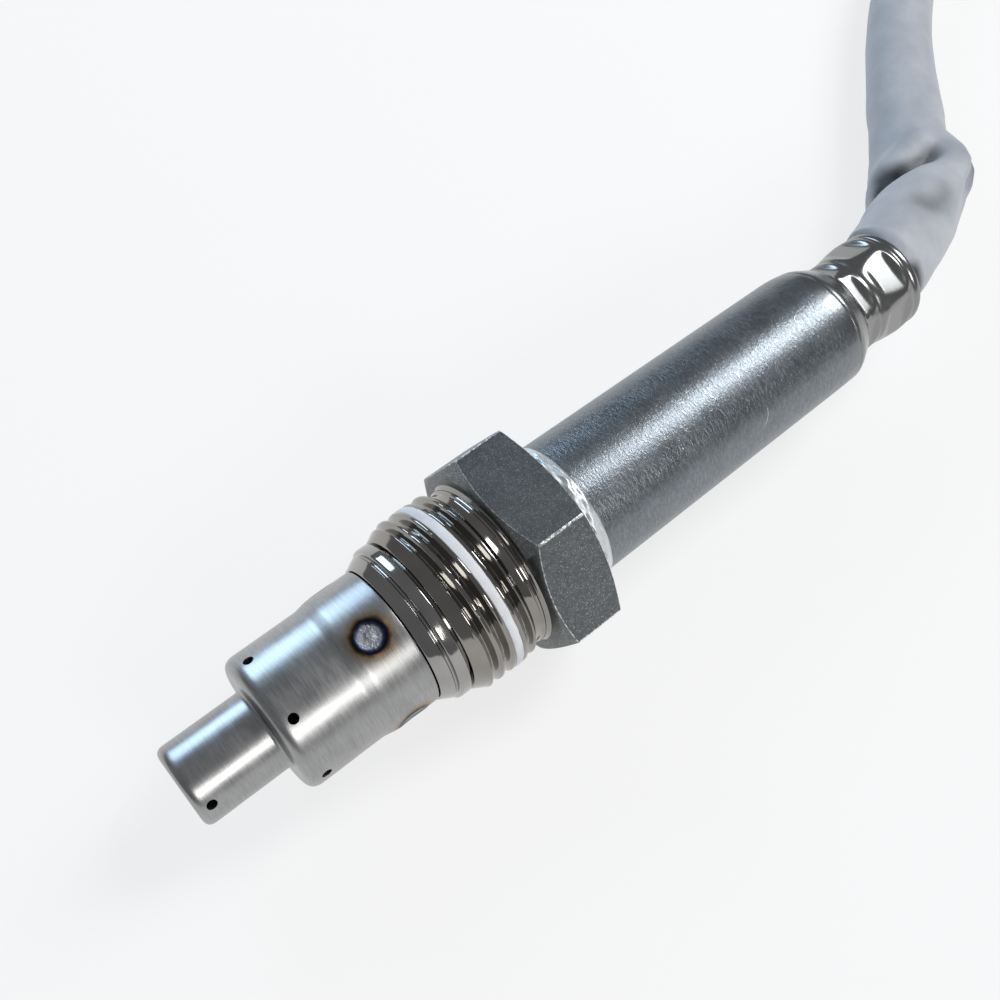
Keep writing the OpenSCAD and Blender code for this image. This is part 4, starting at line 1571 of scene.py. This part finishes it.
def main() -> None:
    """Builds the dressed model in order."""
    logging.basicConfig(level=logging.INFO, format="%(name)s: %(message)s")
    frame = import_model()
    Viewpoint().set_up()
    Studio().set_up()

    lead = Lead()
    sleeve = lead.build(SoftSleeve())
    boot = Boot().build(lead.route(), Matt("boot_rubber", (0.03, 0.03, 0.032), 0.55, 0.5, 0.02))
    InsideParts().dress(frame["nodes"])

    OuterCap().build(
        TintedSteel(
            "drawn_cap_steel", gray(0.38), 0.33, Grain.AROUND, 0.14, 0.0012, spread=0.025,
            streak=0.13,
        ),
        # Near-black inner side of the cap: painted shade behind the vents
        Metal("painted_shade_inside_steel", gray(0.05), 0.6),
    )
    Shell().build(Metal(
        "turned_plating", (0.37, 0.36, 0.35), 0.1, Grain.AROUND, 0.1, 0.0015, spread=0.04,
    ))
    nut = UnionNut()
    nut.build_thread(Metal(
        "thread_plating", (0.3, 0.285, 0.265), 0.09, Grain.AROUND, 0.1, 0.001, spread=0.04,
    ))
    nut.build_hexagon(
        BlastedSteel("blasted_steel", (0.15, 0.16, 0.165), 0.42, Grain.EVEN),
        BlastedSteel(
            "worn_edge_steel", (0.3, 0.31, 0.32), 0.56, Grain.EVEN, wear=0.15,
            bright_color=(0.82, 0.83, 0.84), mottle_depth=0.06,
        ),
    )
    nut.build_paste(Matt("dried_paste", (0.86, 0.87, 0.9), 0.8, 0.3, 0.03, 0.9))
    WeldBead().build(Metal("weld_metal", (0.8, 0.82, 0.84), 0.48, Grain.AROUND, 0.16, 0.02))
    RearSleeve().build(GroundTube(
        "ground_tube_steel", (0.2, 0.22, 0.24), 0.35, Grain.AROUND, 0.12, 0.002, spread=0.03,
        scratches=(
            Scratch(17.0, 26, 1.0, 20), Scratch(19.6, 30, 1.2, -30), Scratch(18.2, 36, 1.4, 10),
            Scratch(24.5, 22, 0.9, 160), Scratch(23.0, 30, 0.8, 60), Scratch(28.5, 20, 0.7, 200),
            Scratch(33.0, 30, 0.8, 20), Scratch(14.2, 44, 0.7, 90), Scratch(38.5, 8, 0.8, 40),
            Scratch(29.5, 62, 2.4, 200), Scratch(21.0, 9, 0.8, -40),
        ),
    # Near-black bore: painted shade in the crimp's mouth
    ), Metal("painted_shade_sleeve_bore", gray(0.04), 0.6))


if __name__ == "__main__":
    main()
